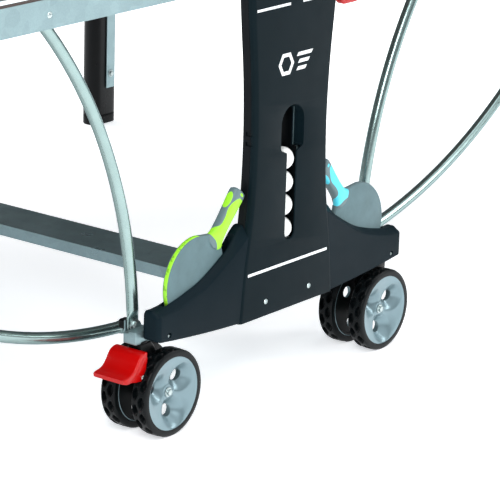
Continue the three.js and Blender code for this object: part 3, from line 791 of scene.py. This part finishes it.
def pedestal():
    left_wing = wing()
    mirror = mirrored(left_wing, "pedestal_wing_left")
    left_wing.name = "pedestal_wing_right"
    near_and_far(left_wing, "black_plastic", replaced="pedestal_shell")
    near_and_far(mirror, "black_plastic")
    near_and_far(front_panel(), "black_panel", replaced="pedestal_panel")
    near_and_far(column_cover(), "black_plastic")
    near_and_far(finger_recess(), "black_panel")
    near_and_far(ball_chute(), "black_plastic")
    near_and_far(panel_strip("panel_line_low", -111 * MM, 108 * MM, 230 * MM, 4.6 * MM), "black_panel")
    near_and_far(panel_strip("panel_line_high_left", -106 * MM, -17 * MM, 674 * MM, 4.2 * MM), "black_panel")
    near_and_far(panel_strip("panel_line_high_right", 17 * MM, 106 * MM, 674 * MM, 4.2 * MM), "black_panel")
    near_and_far(panel_mark(), "black_panel")
    for label, x, y, z, radius in (
        ("panel_screw", 60, PANEL_FRONT_Y, 174.5, 4.6),
        ("wing_screw", 310, FACE_Y + 2.6 * MM, 174.4, 2.6),
    ):
        for side, sign in (("left", -1), ("right", 1)):
            piece = screw(f"{label}_{side}", radius * MM)
            piece.location = (sign * x * MM, y, z * MM)
            near_and_far(piece, "galvanised")


# ---- Balls and bats ----
def ball(number, low, high):
    bm = bmesh.new()
    bmesh.ops.create_icosphere(bm, subdivisions=5, radius=(high.x - low.x) / 2 + 0.2 * MM)
    for vert in bm.verts:
        seam = math.exp(-(vert.co.x / (0.35 * MM)) ** 2)
        vert.co *= 1 - 0.004 * seam
    obj = mesh_object(f"table_tennis_ball_{number}", bm)
    obj.rotation_euler = (0.6 * number, 0.4 + number, 0.9 * number)
    obj.location = (low + high) / 2
    smooth(paint(obj, "ball"), 60)
    place(obj, "balls", "ball_white", f"ball_{number}")


BAT_CENTRE = (BAT_HIGH.x - 76 * MM, BAT_LOW.z + 76 * MM)
# From the blade's centre to the handle's end, in millimetres: across the table, and up.
BAT_RUN, BAT_RISE = 109.5, 129.0
BAT_TILT = math.degrees(math.atan2(BAT_RISE, BAT_RUN))


def bat_outline(radius):
    """The round blade, with straight shoulders drawn in to the handle."""
    points, steps = [], 96
    for k in range(steps):
        angle = 2 * math.pi * (k + 0.5) / steps
        stretch = 1.0 + 0.012 * math.cos(2 * angle)
        x, z = radius * stretch * math.cos(angle), radius * stretch * math.sin(angle)
        if abs(math.degrees(math.atan2(z, x))) > 36.5:
            points.append((x, z))
    shoulder_x, shoulder_z = 0.0770 - 0.0746 + radius, 0.0188
    return points + [(shoulder_x, -shoulder_z), (shoulder_x, shoulder_z)]


def bat_pieces(prefix, rim_key, handle_key):
    """A bat in its own frame: X runs along the handle from the blade's centre, Y is through the blade."""
    radius = 74.6 * MM
    front, back = -5.0 * MM, 5.0 * MM
    rim = prism(f"{prefix}_blade_edge", bat_outline(radius), front + 1.2 * MM, back - 1.2 * MM)
    bevel(rim, 1.4 * MM, 3, 50)
    smooth(paint(rim, rim_key), 40)
    pieces = [rim]
    for label, y0, y1 in (("front", front, front + 1.5 * MM), ("back", back - 1.5 * MM, back)):
        face = prism(f"{prefix}_rubber_{label}", bat_outline(radius - 1.0 * MM), y0, y1)
        bevel(face, 0.5 * MM, 2, 50)
        pieces.append(smooth(paint(face, "bat_face"), 40))
    # Along the handle: its half width across the blade, and its half thickness.
    stations = [(62, 1.2, 5.6), (62.6, 6.0, 5.9), (64, 12.0, 6.4), (68, 19.0, 7.1), (73, 21.5, 8.0),
                (78, 18.6, 8.8), (88, 14.2, 10.2), (104, 12.4, 10.8), (124, 12.8, 11.0),
                (144, 14.0, 11.1), (158, 14.9, 11.1), (165, 14.8, 10.8),
                (168.4, 13.4, 9.6), (169.4, 11.0, 7.6)]
    sections = []
    for u in [62, 62.3, 62.8, 63.5, 64.5] + [66 + 103.4 * k / 44 for k in range(45)]:
        half = spline([(s[0], s[1]) for s in stations], u) * MM
        thick = spline([(s[0], s[2]) for s in stations], u) * MM
        section = []
        for k in range(32):
            angle = 2 * math.pi * k / 32
            c, s = math.cos(angle), math.sin(angle)
            power = 0.72
            v = half * math.copysign(abs(c) ** power, c)
            w = thick * math.copysign(abs(s) ** power, s)
            section.append((u * MM, w - 1.2 * MM, v))
        sections.append(section)
    handle = loft(f"{prefix}_handle", sections)
    pieces.append(smooth(paint(handle, handle_key), 50))
    return pieces


def bats():
    middle = (BAT_LOW.y + BAT_HIGH.y) / 2 + 2.2 * MM
    for side, prefix, rim_key, handle_key in ((1, "cyan_bat", "cyan_rim", "cyan_handle"),
                                              (-1, "lime_bat", "lime_rim", "lime_handle")):
        label = "right" if side > 0 else "left"
        tilt = 180 - BAT_TILT if side > 0 else BAT_TILT
        turn = Matrix.Rotation(-math.radians(tilt), 4, "Y")
        placing = Matrix.Translation((side * BAT_CENTRE[0], middle, BAT_CENTRE[1])) @ turn
        for number, piece in enumerate(bat_pieces(prefix, rim_key, handle_key)):
            piece.matrix_world = placing
            slot = "bat_cyan" if side > 0 else "bat_lime"
            place(piece, f"{label}_bat", slot, *([f"bat_{label}"] if number == 0 else []))


# ---- Casters ----
CASTER_MIDDLE_Y = -755.7 * MM
POCKETS_ROUND = 16
POCKET_PITCH = 2 * math.pi * 73.5 / POCKETS_ROUND  # millimetres round the tread


def tyre():
    """A solid tyre with two staggered rows of oval pockets in its tread; its outer face is at y = 0."""
    radius, width, bore = WHEEL_RADIUS, WHEEL_WIDTH, 61.6 * MM
    steps = POCKETS_ROUND * 20
    across = [0.0, 0.6] + [1.4 + 27.2 * k / 32 for k in range(33)] + [29.4, 30.0]
    sections = []
    for k in range(steps):
        angle = 2 * math.pi * k / steps
        section = [(bore, 0.4 * MM), (radius - 8 * MM, 0.0), (radius - 6 * MM, 0.35 * MM)]
        for w in across[1:-1]:
            edge = min(w, 30 - w)
            crown = 0.35 * ((w - 15) / 15) ** 2
            rounding = 5.0 - math.sqrt(max(0.0, 5.0**2 - max(0.0, 5.0 - edge) ** 2))
            depth = 0.0
            for centre, shift in ((8.6, 0.0), (21.4, 0.5)):
                phase = (k / steps * POCKETS_ROUND + shift + 0.5) % 1.0 - 0.5
                du = phase * POCKET_PITCH / 11.4
                dw = (w - centre) / 6.4
                inside = 1 - (abs(du) ** 1.6 + abs(dw) ** 1.6)
                depth = max(depth, 8.5 * smoothstep(0.0, 0.42, inside))
            section.append((radius - (crown + rounding + depth) * MM, w * MM))
        section += [(radius - 6 * MM, width - 0.35 * MM), (radius - 8 * MM, width), (bore, width - 0.4 * MM)]
        sections.append([(r * math.cos(angle), y, r * math.sin(angle)) for r, y in section])
    obj = loft("tyre", sections, capped=False, closed=True, ring=True)
    return smooth(paint(obj, "tyre"), 42)


def hub(turn):
    """The dished disc: three wide bowls sink from its face to a hole each; turn is its angle in degrees."""
    face = [(0, 12.2), (10, 12.2), (12.6, 11.6), (14, 12.4), (17, 12.6), (22, 11.4), (34, 8.2), (46, 4.6),
            (54, 2.2), (58.5, 1.2), (61.4, 0.7)]
    bowl_radius, hole_radius, bowl_distance, bowl_depth = 28.0, 10.5, 34.5, 15.0
    bowls = [(bowl_distance * math.cos(math.radians(turn + 120 * k)),
              bowl_distance * math.sin(math.radians(turn + 120 * k))) for k in range(3)]
    rings = [1.0 * k for k in range(1, 62)] + [61.4]
    steps = 144
    bm = bmesh.new()

    def depth_at(x, z):
        depth = spline(face, math.hypot(x, z))
        for bx, bz in bowls:
            t = math.hypot(x - bx, z - bz)
            sunk = bowl_depth * (1 - smoothstep(4, bowl_radius, t))
            depth = max(depth, spline(face, math.hypot(x, z)) + sunk)
        return depth

    centre = bm.verts.new((0, depth_at(0, 0) * MM, 0))
    rows = []
    for r in rings:
        row = []
        for k in range(steps):
            x, z = r * math.cos(2 * math.pi * k / steps), r * math.sin(2 * math.pi * k / steps)
            row.append(bm.verts.new((x * MM, depth_at(x, z) * MM, z * MM)))
        rows.append(row)
    for r, depth in ((61.4, 28.4), (60.0, 29.3), (56.5, 29.3), (55.5, 27.4)):
        rows.append([bm.verts.new((r * MM * math.cos(2 * math.pi * k / steps), depth * MM,
                                   r * MM * math.sin(2 * math.pi * k / steps))) for k in range(steps)])
    for k in range(steps):
        bm.faces.new((centre, rows[0][k], rows[0][(k + 1) % steps]))
    for inner, outer in zip(rows, rows[1:]):
        for k in range(steps):
            j = (k + 1) % steps
            bm.faces.new((inner[k], outer[k], outer[j], inner[j]))
    bm.faces.new(rows[-1])
    disc = mesh_object("wheel_disc", bm)
    holes = []
    hole_profile = in_mm([(0, -5), (hole_radius, -5), (hole_radius, 40), (0, 40)])
    for bx, bz in bowls:
        hole = lathe("hole", hole_profile, 40)
        hole.location = (bx * MM, 0, bz * MM)
        holes.append(hole)
    boolean(disc, holes)
    paint(disc, "hub")
    # The disc's back faces get the black housing plastic as painted shade: the back is silver, in shadow
    # between the two wheels of a pair.
    disc.data.materials.append(MATERIALS["black_housing"])
    for face_of_disc in disc.data.polygons:
        middle = face_of_disc.center
        if middle.y > 26.2 * MM and math.hypot(middle.x, middle.z) < 60 * MM:
            face_of_disc.material_index = 1
    return smooth(disc, 32)


def wheels():
    tread = tyre()
    disc = hub(38)
    bolt = bolt_head("wheel_bolt", 5.6 * MM, 4.2 * MM, 8.0 * MM)
    bolt.location.y = 12.2 * MM
    smooth(paint(bolt, "bolt"), 30)
    outer = Matrix.Translation((0, WHEEL_LOW.y, WHEEL_CENTRE.z))
    inner = Matrix.Translation((0, INNER_WHEEL_HIGH.y, WHEEL_CENTRE.z)) @ HALF_TURN
    spins = {"near_left": 0, "near_right": -9, "far_left": 24, "far_right": 51}
    for y, x in CORNERS:
        corner = f"{y}_{x}"
        side = (1 if x == "right" else -1) * (1 if y == "near" else -1)
        for layer, layer_matrix in (("outer", outer), ("inner", inner)):
            spin = Matrix.Rotation(-math.radians(spins[corner] + (17 if layer == "inner" else 0)), 4, "Y")
            matrix = Matrix.Translation((side * WHEEL_CENTRE.x, 0, 0)) @ layer_matrix @ spin
            if y == "far":
                matrix = HALF_TURN @ matrix
            for number, source in enumerate((tread, disc, bolt)):
                piece = copy_of(source, f"{source.name}_{corner}_{layer}", matrix)
                node = f"wheel_{corner}_{layer}"
                place(piece, node, "wheel", *([node] if number == 0 else []))
    for source in (tread, disc, bolt):
        bpy.data.objects.remove(source)


def caster_housing():
    """The black block between a caster's wheels, with its swivel collar and axle boss."""
    middle = CASTER_MIDDLE_Y
    outline = [(342, 161), (315, 161), (305, 150), (285, 113), (276, 78), (281, 58), (298, 51.5), (317, 63),
               (332, 100), (341, 138)]
    body = prism("caster_housing", in_mm(outline), middle - 13.5 * MM, middle + 13.5 * MM)
    bevel(body, 3 * MM, 4, 25)
    collar = lathe("collar", [(0, 0), (15, 0), (15.6, 0.8), (15.6, 3.2), (0, 3.2)], 40)
    collar.data.transform(Matrix.Scale(MM, 4) @ Matrix.Rotation(math.pi / 2, 4, "X"))
    collar.location = (332 * MM, middle, 160.8 * MM)
    boss = lathe("boss", [(0, -17.0), (7, -17.0), (10, -15.6), (11.5, -13.4),
                          (11.5, 13.4), (10, 15.6), (7, 17.0), (0, 17.0)], 32)
    boss.data.transform(Matrix.Scale(MM, 4))
    boss.location = (296 * MM, middle, WHEEL_CENTRE.z)
    rib = prism("rib", in_mm([(336, 150), (318, 150), (300, 112), (312, 92), (328, 108)]),
                middle - 14.0 * MM, middle + 14.0 * MM)
    bevel(rib, 0.8 * MM, 2)
    piece = smooth(paint(joined("caster_housing", [body, collar, boss, rib]), "black_housing"), 35)
    at_corners(piece, "black_housing", "caster_{y}_{x}", "caster_{y}_{x}")


def brake_pedal():
    """The red foot pedal: a curved plate over the wheels, flared to a lip, with two skirts and a pin."""
    middle = CASTER_MIDDLE_Y
    outer = [(343.0, 150.5), (347, 153.4), (354.5, 153), (363, 149.2), (369, 142.0), (374, 134.5),
             (380, 127.6), (388, 123.0), (397, 121.0), (405, 119.6)]
    inner = [(343.0, 142.5), (347, 144.5), (352, 143.6), (357.5, 139.6), (363, 132.6), (368, 125.0),
             (374.5, 117.5), (383.5, 111.8), (394, 110.6), (403.6, 112.6)]
    widths = [(0.0, 27.0), (0.05, 30.2), (0.12, 31.8), (0.35, 32.6), (0.7, 32.6), (0.9, 33.4), (1.0, 31.0)]
    top_x, top_z = [(k / 9, p[0]) for k, p in enumerate(outer)], [(k / 9, p[1]) for k, p in enumerate(outer)]
    low_x, low_z = [(k / 9, p[0]) for k, p in enumerate(inner)], [(k / 9, p[1]) for k, p in enumerate(inner)]
    sections = []
    for k in range(49):
        t = k / 48
        top = Vector((spline(top_x, t), spline(top_z, t)))
        low = Vector((spline(low_x, t), spline(low_z, t)))
        half = spline(widths, t)
        corner = 2.4
        section = []
        for sy, sz, start in ((1, 1, 0), (-1, 1, 90), (-1, -1, 180), (1, -1, 270)):
            for y, z in arc(sy * (half - corner), sz * (1 - 0.30), 1, start, start + 90, 5):
                across = sy * (half - corner) + (y - sy * (half - corner)) * corner
                level = 0.5 + 0.5 * (sz * 0.7 + (z - sz * 0.7) * 0.3)
                point = low + (top - low) * level
                section.append((point.x * MM, middle + across * MM, point.y * MM))
        sections.append(section)
    plate = loft("brake_pedal", sections)
    web_outline = [(344, 107), (350, 104.5), (374, 106), (392, 111),
                   (384, 120), (366, 138), (352, 145), (343, 145)]
    web = prism("web", in_mm(web_outline), middle - 13.4 * MM, middle + 13.4 * MM)
    bevel(web, 2 * MM, 3)
    skirt_outline = [(347.5, 150), (345.6, 143), (350.5, 118), (354.5, 109.5), (361, 107.5), (372, 108.5),
                     (388, 111.5), (397, 114.5), (386, 121.5), (371, 132), (361, 146), (354, 151)]
    skirts = []
    for side in (-1, 1):
        y0, y1 = sorted((middle + side * 28.4 * MM, middle + side * 32.4 * MM))
        skirt = prism("skirt", in_mm(skirt_outline), y0, y1)
        bevel(skirt, 1.2 * MM, 3)
        skirts.append(skirt)
    piece = smooth(paint(joined("brake_pedal", [plate, web, *skirts]), "red"), 50)
    pin_profile = [(0, -34.0), (2.6, -34.0), (3.6, -33.0), (3.6, 33.0), (2.6, 34.0), (0, 34.0)]
    pin = lathe("brake_pin", pin_profile, 20)
    pin.data.transform(Matrix.Scale(MM, 4))
    pin.location = (357 * MM, middle, 113.5 * MM)
    smooth(paint(pin, "bolt"), 30)
    for source, slot in ((piece, "red_plastic"), (pin, "galvanised")):
        left = mirrored(source, f"{source.name}_near_left")
        right = copy_of(left, f"{source.name}_far_right", HALF_TURN)
        bpy.data.objects.remove(source)
        for twin, corner in ((left, "near_left"), (right, "far_right")):
            nodes = [f"brake_pedal_{corner}"] if slot == "red_plastic" else []
            place(twin, f"pedal_{corner}", slot, *nodes)


# ---- Arc tubes ----
def arc_tube(name, foot, head, radius, bulge, y):
    """A tube bent to an arc, flattened to a tongue with a round end at each pivot."""
    foot, head = Vector((foot[0], foot[1])), Vector((head[0], head[1]))
    chord = head - foot
    side = Vector((chord.y, -chord.x)).normalized() * bulge
    centre = (foot + head) / 2 + side * math.sqrt(radius**2 - (chord.length / 2) ** 2)
    start = math.atan2(foot.y - centre.y, foot.x - centre.x)
    sweep = math.atan2(head.y - centre.y, head.x - centre.x) - start
    sweep = (sweep + math.pi) % (2 * math.pi) - math.pi
    length = abs(sweep) * radius
    flat, blend, tongue = 11 * MM, 27 * MM, 12.6 * MM
    tube = 10 * MM
    stations = [-tongue * (1 - k / 8) for k in range(9)]
    stations += [0.5 * flat] + [flat + (blend - flat) * k / 12 for k in range(13)]
    count = max(12, int(length / (26 * MM)))
    middle = [blend + (length - 2 * blend) * k / count for k in range(1, count)]
    stations = stations + middle + [length - s for s in reversed(stations)]
    sections = []
    for distance in stations:
        inner = min(distance, length - distance)
        angle = start + sweep * distance / length
        radial = Vector((math.cos(angle), math.sin(angle)))
        point = centre + radial * radius
        shape = smoothstep(flat, blend, inner)
        half = 13.0 * MM + (tube - 13.0 * MM) * shape
        thick = 3.1 * MM + (tube - 3.1 * MM) * shape
        if inner < 0:
            half *= math.sqrt(max(0.0, 1 - (inner / tongue) ** 2)) + 0.02
            if inner < -tongue * 0.98:
                half = 1.2 * MM
        power = 0.6 + 0.4 * shape
        section = []
        for k in range(24):
            turn = 2 * math.pi * k / 24
            c, s = math.cos(turn), math.sin(turn)
            across = half * math.copysign(abs(c) ** power, c)
            depth = thick * math.copysign(abs(s) ** power, s)
            offset = radial * across
            section.append((point.x + offset.x, y + depth, point.y + offset.y))
        sections.append(section)
    return smooth(paint(loft(name, sections), "tube"), 45)


PIVOTS = {joint["name"]: joint for joint in frame["joints"]}
UPPER_HEAD = PIVOTS["right_upper_arc_pivot"]["pos_m"]
LOWER_HEAD = PIVOTS["right_lower_arc_pivot"]["pos_m"]
UPPER_FOOT = (312 * MM, 179 * MM)
LOWER_FOOT = (262 * MM, 154 * MM)
UPPER_Y = (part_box("upper_arc_near_right")[0].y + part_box("upper_arc_near_right")[1].y) / 2
LOWER_Y = (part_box("lower_arc_near_right")[0].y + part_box("lower_arc_near_right")[1].y) / 2


def base_bars():
    """The bar between each pair of casters, with the brackets that hold the arcs' feet.

    It is a box section whose back edge is stepped down for the upper arcs' bolts.
    """
    low, high = 161 * MM, 183 * MM
    front, back = BAR_LOW.y, BAR_LOW.y + 27 * MM
    step_y, step_z = front + 16 * MM, 179.5 * MM
    outline = [(front, low), (back, low), (back, step_z), (step_y, step_z), (step_y, high), (front, high)]
    half = BAR_HIGH.x
    bar = loft("base_bar_section", [[(x, y, z) for y, z in outline] for x in (-half, half)])
    bevel(bar, 1.6 * MM, 3, 40)
    parts = [bar]
    for side in (-1, 1):
        for name, middle, width, y0, y1, z0, z1 in (
            ("drop_plate", LOWER_FOOT[0], 24, back - 0.5 * MM, back + 4 * MM, 147.5 * MM, 173.5 * MM),
            ("bracket_floor", UPPER_FOOT[0], 24, back - 0.5 * MM, back + 23 * MM, 161 * MM, 164.4 * MM),
            ("bracket_back", UPPER_FOOT[0], 24, back + 20 * MM, back + 23 * MM, 161 * MM, 187 * MM),
        ):
            x0, x1 = sorted((side * middle - width / 2 * MM, side * middle + width / 2 * MM))
            plate = block(name, (x0, y0, z0), (x1, y1, z1))
            bevel(plate, 0.8 * MM, 2, 40)
            parts.append(plate)
        pin = lathe("pin", [(0, 0), (6.5 * MM, 0), (6.5 * MM, 53 * MM), (0, 53 * MM)], 32)
        pin.location = (side * LOWER_FOOT[0], back + 3 * MM, LOWER_FOOT[1])
        parts.append(pin)
    whole = smooth(paint(joined("base_bar_section", parts), "galvanised"), 40)
    near_and_far(whole, "galvanised", "base", "base_bar")
    spacer = block("upper_foot_spacer", (-8.6 * MM, back + 22.8 * MM, -8.2 * MM),
                   (8.6 * MM, back + 38 * MM, 8.2 * MM))
    spacer.data.transform(Matrix.Translation((UPPER_FOOT[0], 0, UPPER_FOOT[1] - 2 * MM)))
    bevel(spacer, 3 * MM, 4, 40)
    smooth(paint(spacer, "black_housing"), 40)
    at_corners(spacer, "black_housing", "base")


def arcs():
    upper = arc_tube("upper_arc_tube", UPPER_FOOT, (UPPER_HEAD[0], UPPER_HEAD[2]), 807 * MM, 1, UPPER_Y)
    lower = arc_tube("lower_arc_tube", LOWER_FOOT, (LOWER_HEAD[0], LOWER_HEAD[2]), 1115 * MM, -1, LOWER_Y)
    at_corners(upper, "galvanised", "{x}_upper_arcs", "upper_arc_{y}_{x}")
    at_corners(lower, "galvanised", "{x}_lower_arcs", "lower_arc_{y}_{x}")
    for level, (x, z), y, radius, height in (
        ("upper", UPPER_FOOT, UPPER_Y - 3.0 * MM, 8.6, 7.4),
        ("lower", LOWER_FOOT, LOWER_Y + 3.2 * MM, 7.0, 4.4),
    ):
        head = bolt_head(f"{level}_foot_bolt", radius * MM, height * MM, (radius + 2.4) * MM)
        if level == "lower":
            head.data.transform(HALF_TURN)
        head.location = (x, y, z)
        smooth(paint(head, "bolt"), 30)
        at_corners(head, "galvanised", f"{{x}}_{level}_arcs")


def apron_rivets():
    """Round rivets in the apron where the upper arcs hang from it."""
    rivet = lathe("apron_rivet", [(0, -2.6), (2.4, -2.3), (4.4, -1.4), (5.6, 0.0), (5.6, 0.6), (0, 0.6)], 24)
    rivet.data.transform(Matrix.Scale(MM, 4))
    rivet.location = (UPPER_HEAD[0], -SIDE_Y, UPPER_HEAD[2])
    smooth(paint(rivet, "bolt"), 60)
    at_corners(rivet, "galvanised", "{x}_half")


# ---- Legs, handles and net ----
def legs():
    low, high = LEG_LOW, LEG_HIGH
    corner = 22 * MM
    cx, cy = (low.x + high.x) / 2, (low.y + high.y) / 2
    hx, hy = (high.x - low.x) / 2, (high.y - low.y) / 2

    def outline(inset):
        points = []
        for sx, sy, start in ((1, 1, 0), (-1, 1, 90), (-1, -1, 180), (1, -1, 270)):
            x, y = cx + sx * (hx - corner), cy + sy * (hy - corner)
            points += arc(x, y, corner - inset, start, start + 90, 8)
        return points

    levels = [(0.0, 3.0), (0.8, 1.4), (2.4, 0.5), (22, 0.5), (22.6, 0.9), (23.4, 0.9), (24, 0.5)]
    levels += [(high.z / MM - 1.2, 0.5), (high.z / MM, 1.6)]
    post = loft("leg_post", [[(x, y, z * MM) for x, y in outline(inset * MM)] for z, inset in levels])
    smooth(paint(post, "black_leg"), 40)
    at_corners(post, "black_leg", "{x}_legs", "leg_{y}_{x}")
    bolt = bolt_head("leg_bolt", 6.0 * MM, 3.6 * MM, 8.4 * MM)
    bolt.data.transform(HALF_TURN)
    strip_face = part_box("leg_near_right")[1].y + 2.6 * MM
    bolt.location = (1199.5 * MM, strip_face, 118 * MM)
    smooth(paint(bolt, "bolt"), 30)
    at_corners(bolt, "galvanised", "{x}_legs")


def release_handles():
    low, high = RELEASE_LOW, RELEASE_HIGH
    grip, corner = 13 * MM, 15 * MM

    def loop(inset, radius):
        x0, x1, z0, z1 = low.x + inset, high.x - inset, low.z + inset, high.z - inset
        points = arc(x0 + radius, z0 + radius, radius, 180, 270, 8)
        points += arc(x1 - radius, z0 + radius, radius, 270, 360, 8)
        return points + [(x1, z1), (x0, z1)]

    handle = prism("release_loop", loop(0.0, corner), low.y, high.y)
    boolean(handle, [prism("grip", loop(grip, 6 * MM), low.y - 0.01, high.y + 0.01)])
    bevel(handle, 2.6 * MM, 4, 40)
    smooth(paint(handle, "red"), 50)
    far = copy_of(handle, "release_loop_far_left", HALF_TURN)
    handle.name = "release_loop_near_right"
    place(handle, "release_near_right", "red_plastic", "release_handle_near_right")
    place(far, "release_far_left", "red_plastic", "release_handle_far_left")


def net():
    """A net of flat cords in square cells under a folded white tape, stretched between the posts."""
    cell, cord, tape = 12 * MM, 2.1 * MM, 15 * MM
    length, low, high = NET_HIGH.y - NET_LOW.y, NET_LOW.z, NET_HIGH.z
    bm = bmesh.new()
    columns = int(round(length / cell))
    rows = int(round((high - tape - low) / cell))
    pitch_y, pitch_z = length / columns, (high - tape - low) / rows
    y_lines = sorted([NET_LOW.y + pitch_y * k + d * cord / 2 for k in range(1, columns) for d in (-1, 1)]
                     + [NET_LOW.y, NET_LOW.y + cord, NET_HIGH.y - cord, NET_HIGH.y])
    z_lines = sorted([low + pitch_z * k + d * cord / 2 for k in range(1, rows) for d in (-1, 1)]
                     + [low, low + cord, high - tape - cord, high - tape])
    grid = [[bm.verts.new((0, y, z)) for y in y_lines] for z in z_lines]
    for j in range(len(z_lines) - 1):
        for i in range(len(y_lines) - 1):
            if i % 2 == 1 and j % 2 == 1:
                continue
            bm.faces.new((grid[j][i], grid[j][i + 1], grid[j + 1][i + 1], grid[j + 1][i]))
    cords = mesh_object("net_cords", bm)
    paint(cords, "net_cord")
    place(cords, "base", "net_cloth", "net")
    band = block("net_tape", (-0.8 * MM, NET_LOW.y, high - tape), (0.8 * MM, NET_HIGH.y, high))
    bevel(band, 0.6 * MM, 3)
    place(smooth(paint(band, "net_tape")), "base", "net_cloth")


def net_posts():
    centre_y = (POST_LOW.y + POST_HIGH.y) / 2
    levels = [(0, 9.4), (1, 10), (14, 10), (15, 8.6), (112, 8.2), (113, 9.4), (140, 9.4), (142, 9.8),
              (157, 9.8), (159, 8.8), (159.7, 6.5)]
    post = lathe("net_post_body", [(0, 0)] + [(r * MM, z * MM) for z, r in levels] + [(0, 159.7 * MM)], 40)
    post.data.transform(Matrix.Rotation(math.pi / 2, 4, "X"))
    post.location = (0, centre_y, POST_LOW.z)
    near_and_far(smooth(paint(post, "black_post"), 35), "black_post", replaced="net_post")
    depth = KNOB_HIGH.y - KNOB_LOW.y
    sections = []
    for k in range(72):
        angle = 2 * math.pi * k / 72
        grip = (11.6 + 0.4 * math.cos(12 * angle)) * MM
        profile = [(0, depth), (6.5 * MM, depth), (7.5 * MM, depth - 2 * MM), (grip - 1 * MM, depth - 3 * MM),
                   (grip, depth - 4.5 * MM), (grip, 2 * MM), (grip - 1.4 * MM, 0.4 * MM), (7 * MM, 0),
                   (0, 0.6 * MM)]
        sections.append([(r * math.cos(angle), y, r * math.sin(angle)) for r, y in profile])
    knob = loft("net_tension_grip", sections, capped=False, closed=False, ring=True)
    knob.location = (0, KNOB_LOW.y, (KNOB_LOW.z + KNOB_HIGH.z) / 2)
    smooth(paint(knob, "black_post"), 35)
    far = copy_of(knob, "net_tension_grip_far", HALF_TURN)
    knob.name = "net_tension_grip_near"
    place(knob, "knob_near", "black_post", "tension_knob_near")
    place(far, "knob_far", "black_post", "tension_knob_far")


def repaint_frame():
    """New materials for the CAD nodes that stay."""
    looks = {"cross_beam": "beam", "column_frame": "galvanised", "top_frame": "galvanised",
             "leg_frame": "galvanised", "table_top": "surface", "carriage": "black_housing"}
    for name, node in frame["nodes"].items():
        for prefix, key in looks.items():
            if name.startswith(prefix):
                node.data.materials.clear()
                node.data.materials.append(MATERIALS[key])


# ---- Stage, light and camera ----
def stage():
    bm = bmesh.new()
    size = 60.0
    corners = [(-size, -size, 0), (size, -size, 0), (size, size, 0), (-size, size, 0)]
    bm.faces.new([bm.verts.new(corner) for corner in corners])
    floor = mesh_object("floor", bm)
    material, shader, tree = clear_material("pale_floor")
    tone = ramp(tree, noise(tree, 3.0), [(0.3, 0.9), (0.7, 0.93)])
    tree.links.new(tone, shader.inputs["Base Color"])
    shader.inputs["Roughness"].default_value = 0.9
    shader.inputs["Emission Color"].default_value = (0.95, 0.97, 1.0, 1.0)
    shader.inputs["Emission Strength"].default_value = 0.6
    floor.data.materials.append(material)
    floor.location.z = -0.0002


def area_light(name, place_at, target, size, power):
    light = bpy.data.lights.new(name, "AREA")
    light.shape = "RECTANGLE"
    light.size, light.size_y = size
    light.energy = power
    obj = bpy.data.objects.new(name, light)
    obj.location = place_at
    obj.rotation_euler = (Vector(target) - Vector(place_at)).to_track_quat("-Z", "Y").to_euler()
    bpy.context.scene.collection.objects.link(obj)


def studio():
    """A bright floor and overhead light, with a darker room behind them for the metal to mirror."""
    world = bpy.data.worlds.new("studio")
    world.use_nodes = True
    tree = world.node_tree
    split = add_node(tree, "ShaderNodeSeparateXYZ")
    tree.links.new(add_node(tree, "ShaderNodeTexCoord").outputs["Generated"], split.inputs["Vector"])
    dark, dim, bright = (0.16, 0.18, 0.19), (0.30, 0.33, 0.34), (0.95, 0.98, 1.0)
    room = ramp(tree, split.outputs["Z"], [(0.0, dark), (0.3, dim), (0.7, bright)])
    seen = add_node(tree, "ShaderNodeLightPath").outputs["Is Camera Ray"]
    plain = mix_colour(tree, seen, room, (1.0, 1.0, 1.0))
    tree.links.new(plain, tree.nodes["Background"].inputs["Color"])
    tree.nodes["Background"].inputs["Strength"].default_value = 1.0
    bpy.context.scene.world = world
    area_light("key", (-3.6, -3.0, 3.2), (0, -0.75, 0.3), (1.6, 2.4), 150)
    area_light("side", (3.2, -3.4, 2.4), (0.1, -0.75, 0.3), (1.0, 2.6), 70)
    area_light("top", (0.0, -0.6, 4.2), (0, -0.6, 0), (4.0, 3.0), 120)
    area_light("back", (0.5, 3.6, 3.6), (0, 0.4, 0.2), (3.0, 2.0), 120)
    bpy.context.scene.view_settings.view_transform = "Standard"


CAMERA_PLACE = (-3.622427, -3.483017, 1.609582)
CAMERA_AZIMUTH, CAMERA_ELEVATION, CAMERA_ROLL = -52.70199, 16.80887, 1.68264
FOCAL_IN_IMAGE_WIDTHS = 5.612484
SENSOR = 36.0


def camera():
    azimuth, elevation, roll = (math.radians(a) for a in (CAMERA_AZIMUTH, CAMERA_ELEVATION, CAMERA_ROLL))
    level = math.cos(elevation)
    back = Vector((math.sin(azimuth) * level, -math.cos(azimuth) * level, math.sin(elevation)))
    right = (-back).cross(Vector((0, 0, 1))).normalized()
    up = right.cross(-back)
    x_axis = math.cos(roll) * right + math.sin(roll) * up
    y_axis = -math.sin(roll) * right + math.cos(roll) * up
    lens = bpy.data.cameras.new("camera")
    lens.sensor_width = SENSOR
    lens.lens = FOCAL_IN_IMAGE_WIDTHS * SENSOR
    lens.clip_end = 60
    obj = bpy.data.objects.new("camera", lens)
    rotation = Matrix((x_axis, y_axis, back)).transposed().to_4x4()
    obj.matrix_world = Matrix.Translation(CAMERA_PLACE) @ rotation
    bpy.context.scene.collection.objects.link(obj)
    bpy.context.scene.camera = obj


camera()
repaint_frame()
pedestal()
for index, (ball_low, ball_high) in enumerate(BALL_BOXES, start=1):
    ball(index, ball_low, ball_high)
bats()
wheels()
caster_housing()
brake_pedal()
base_bars()
arcs()
apron_rivets()
legs()
release_handles()
net()
net_posts()
stage()
studio()
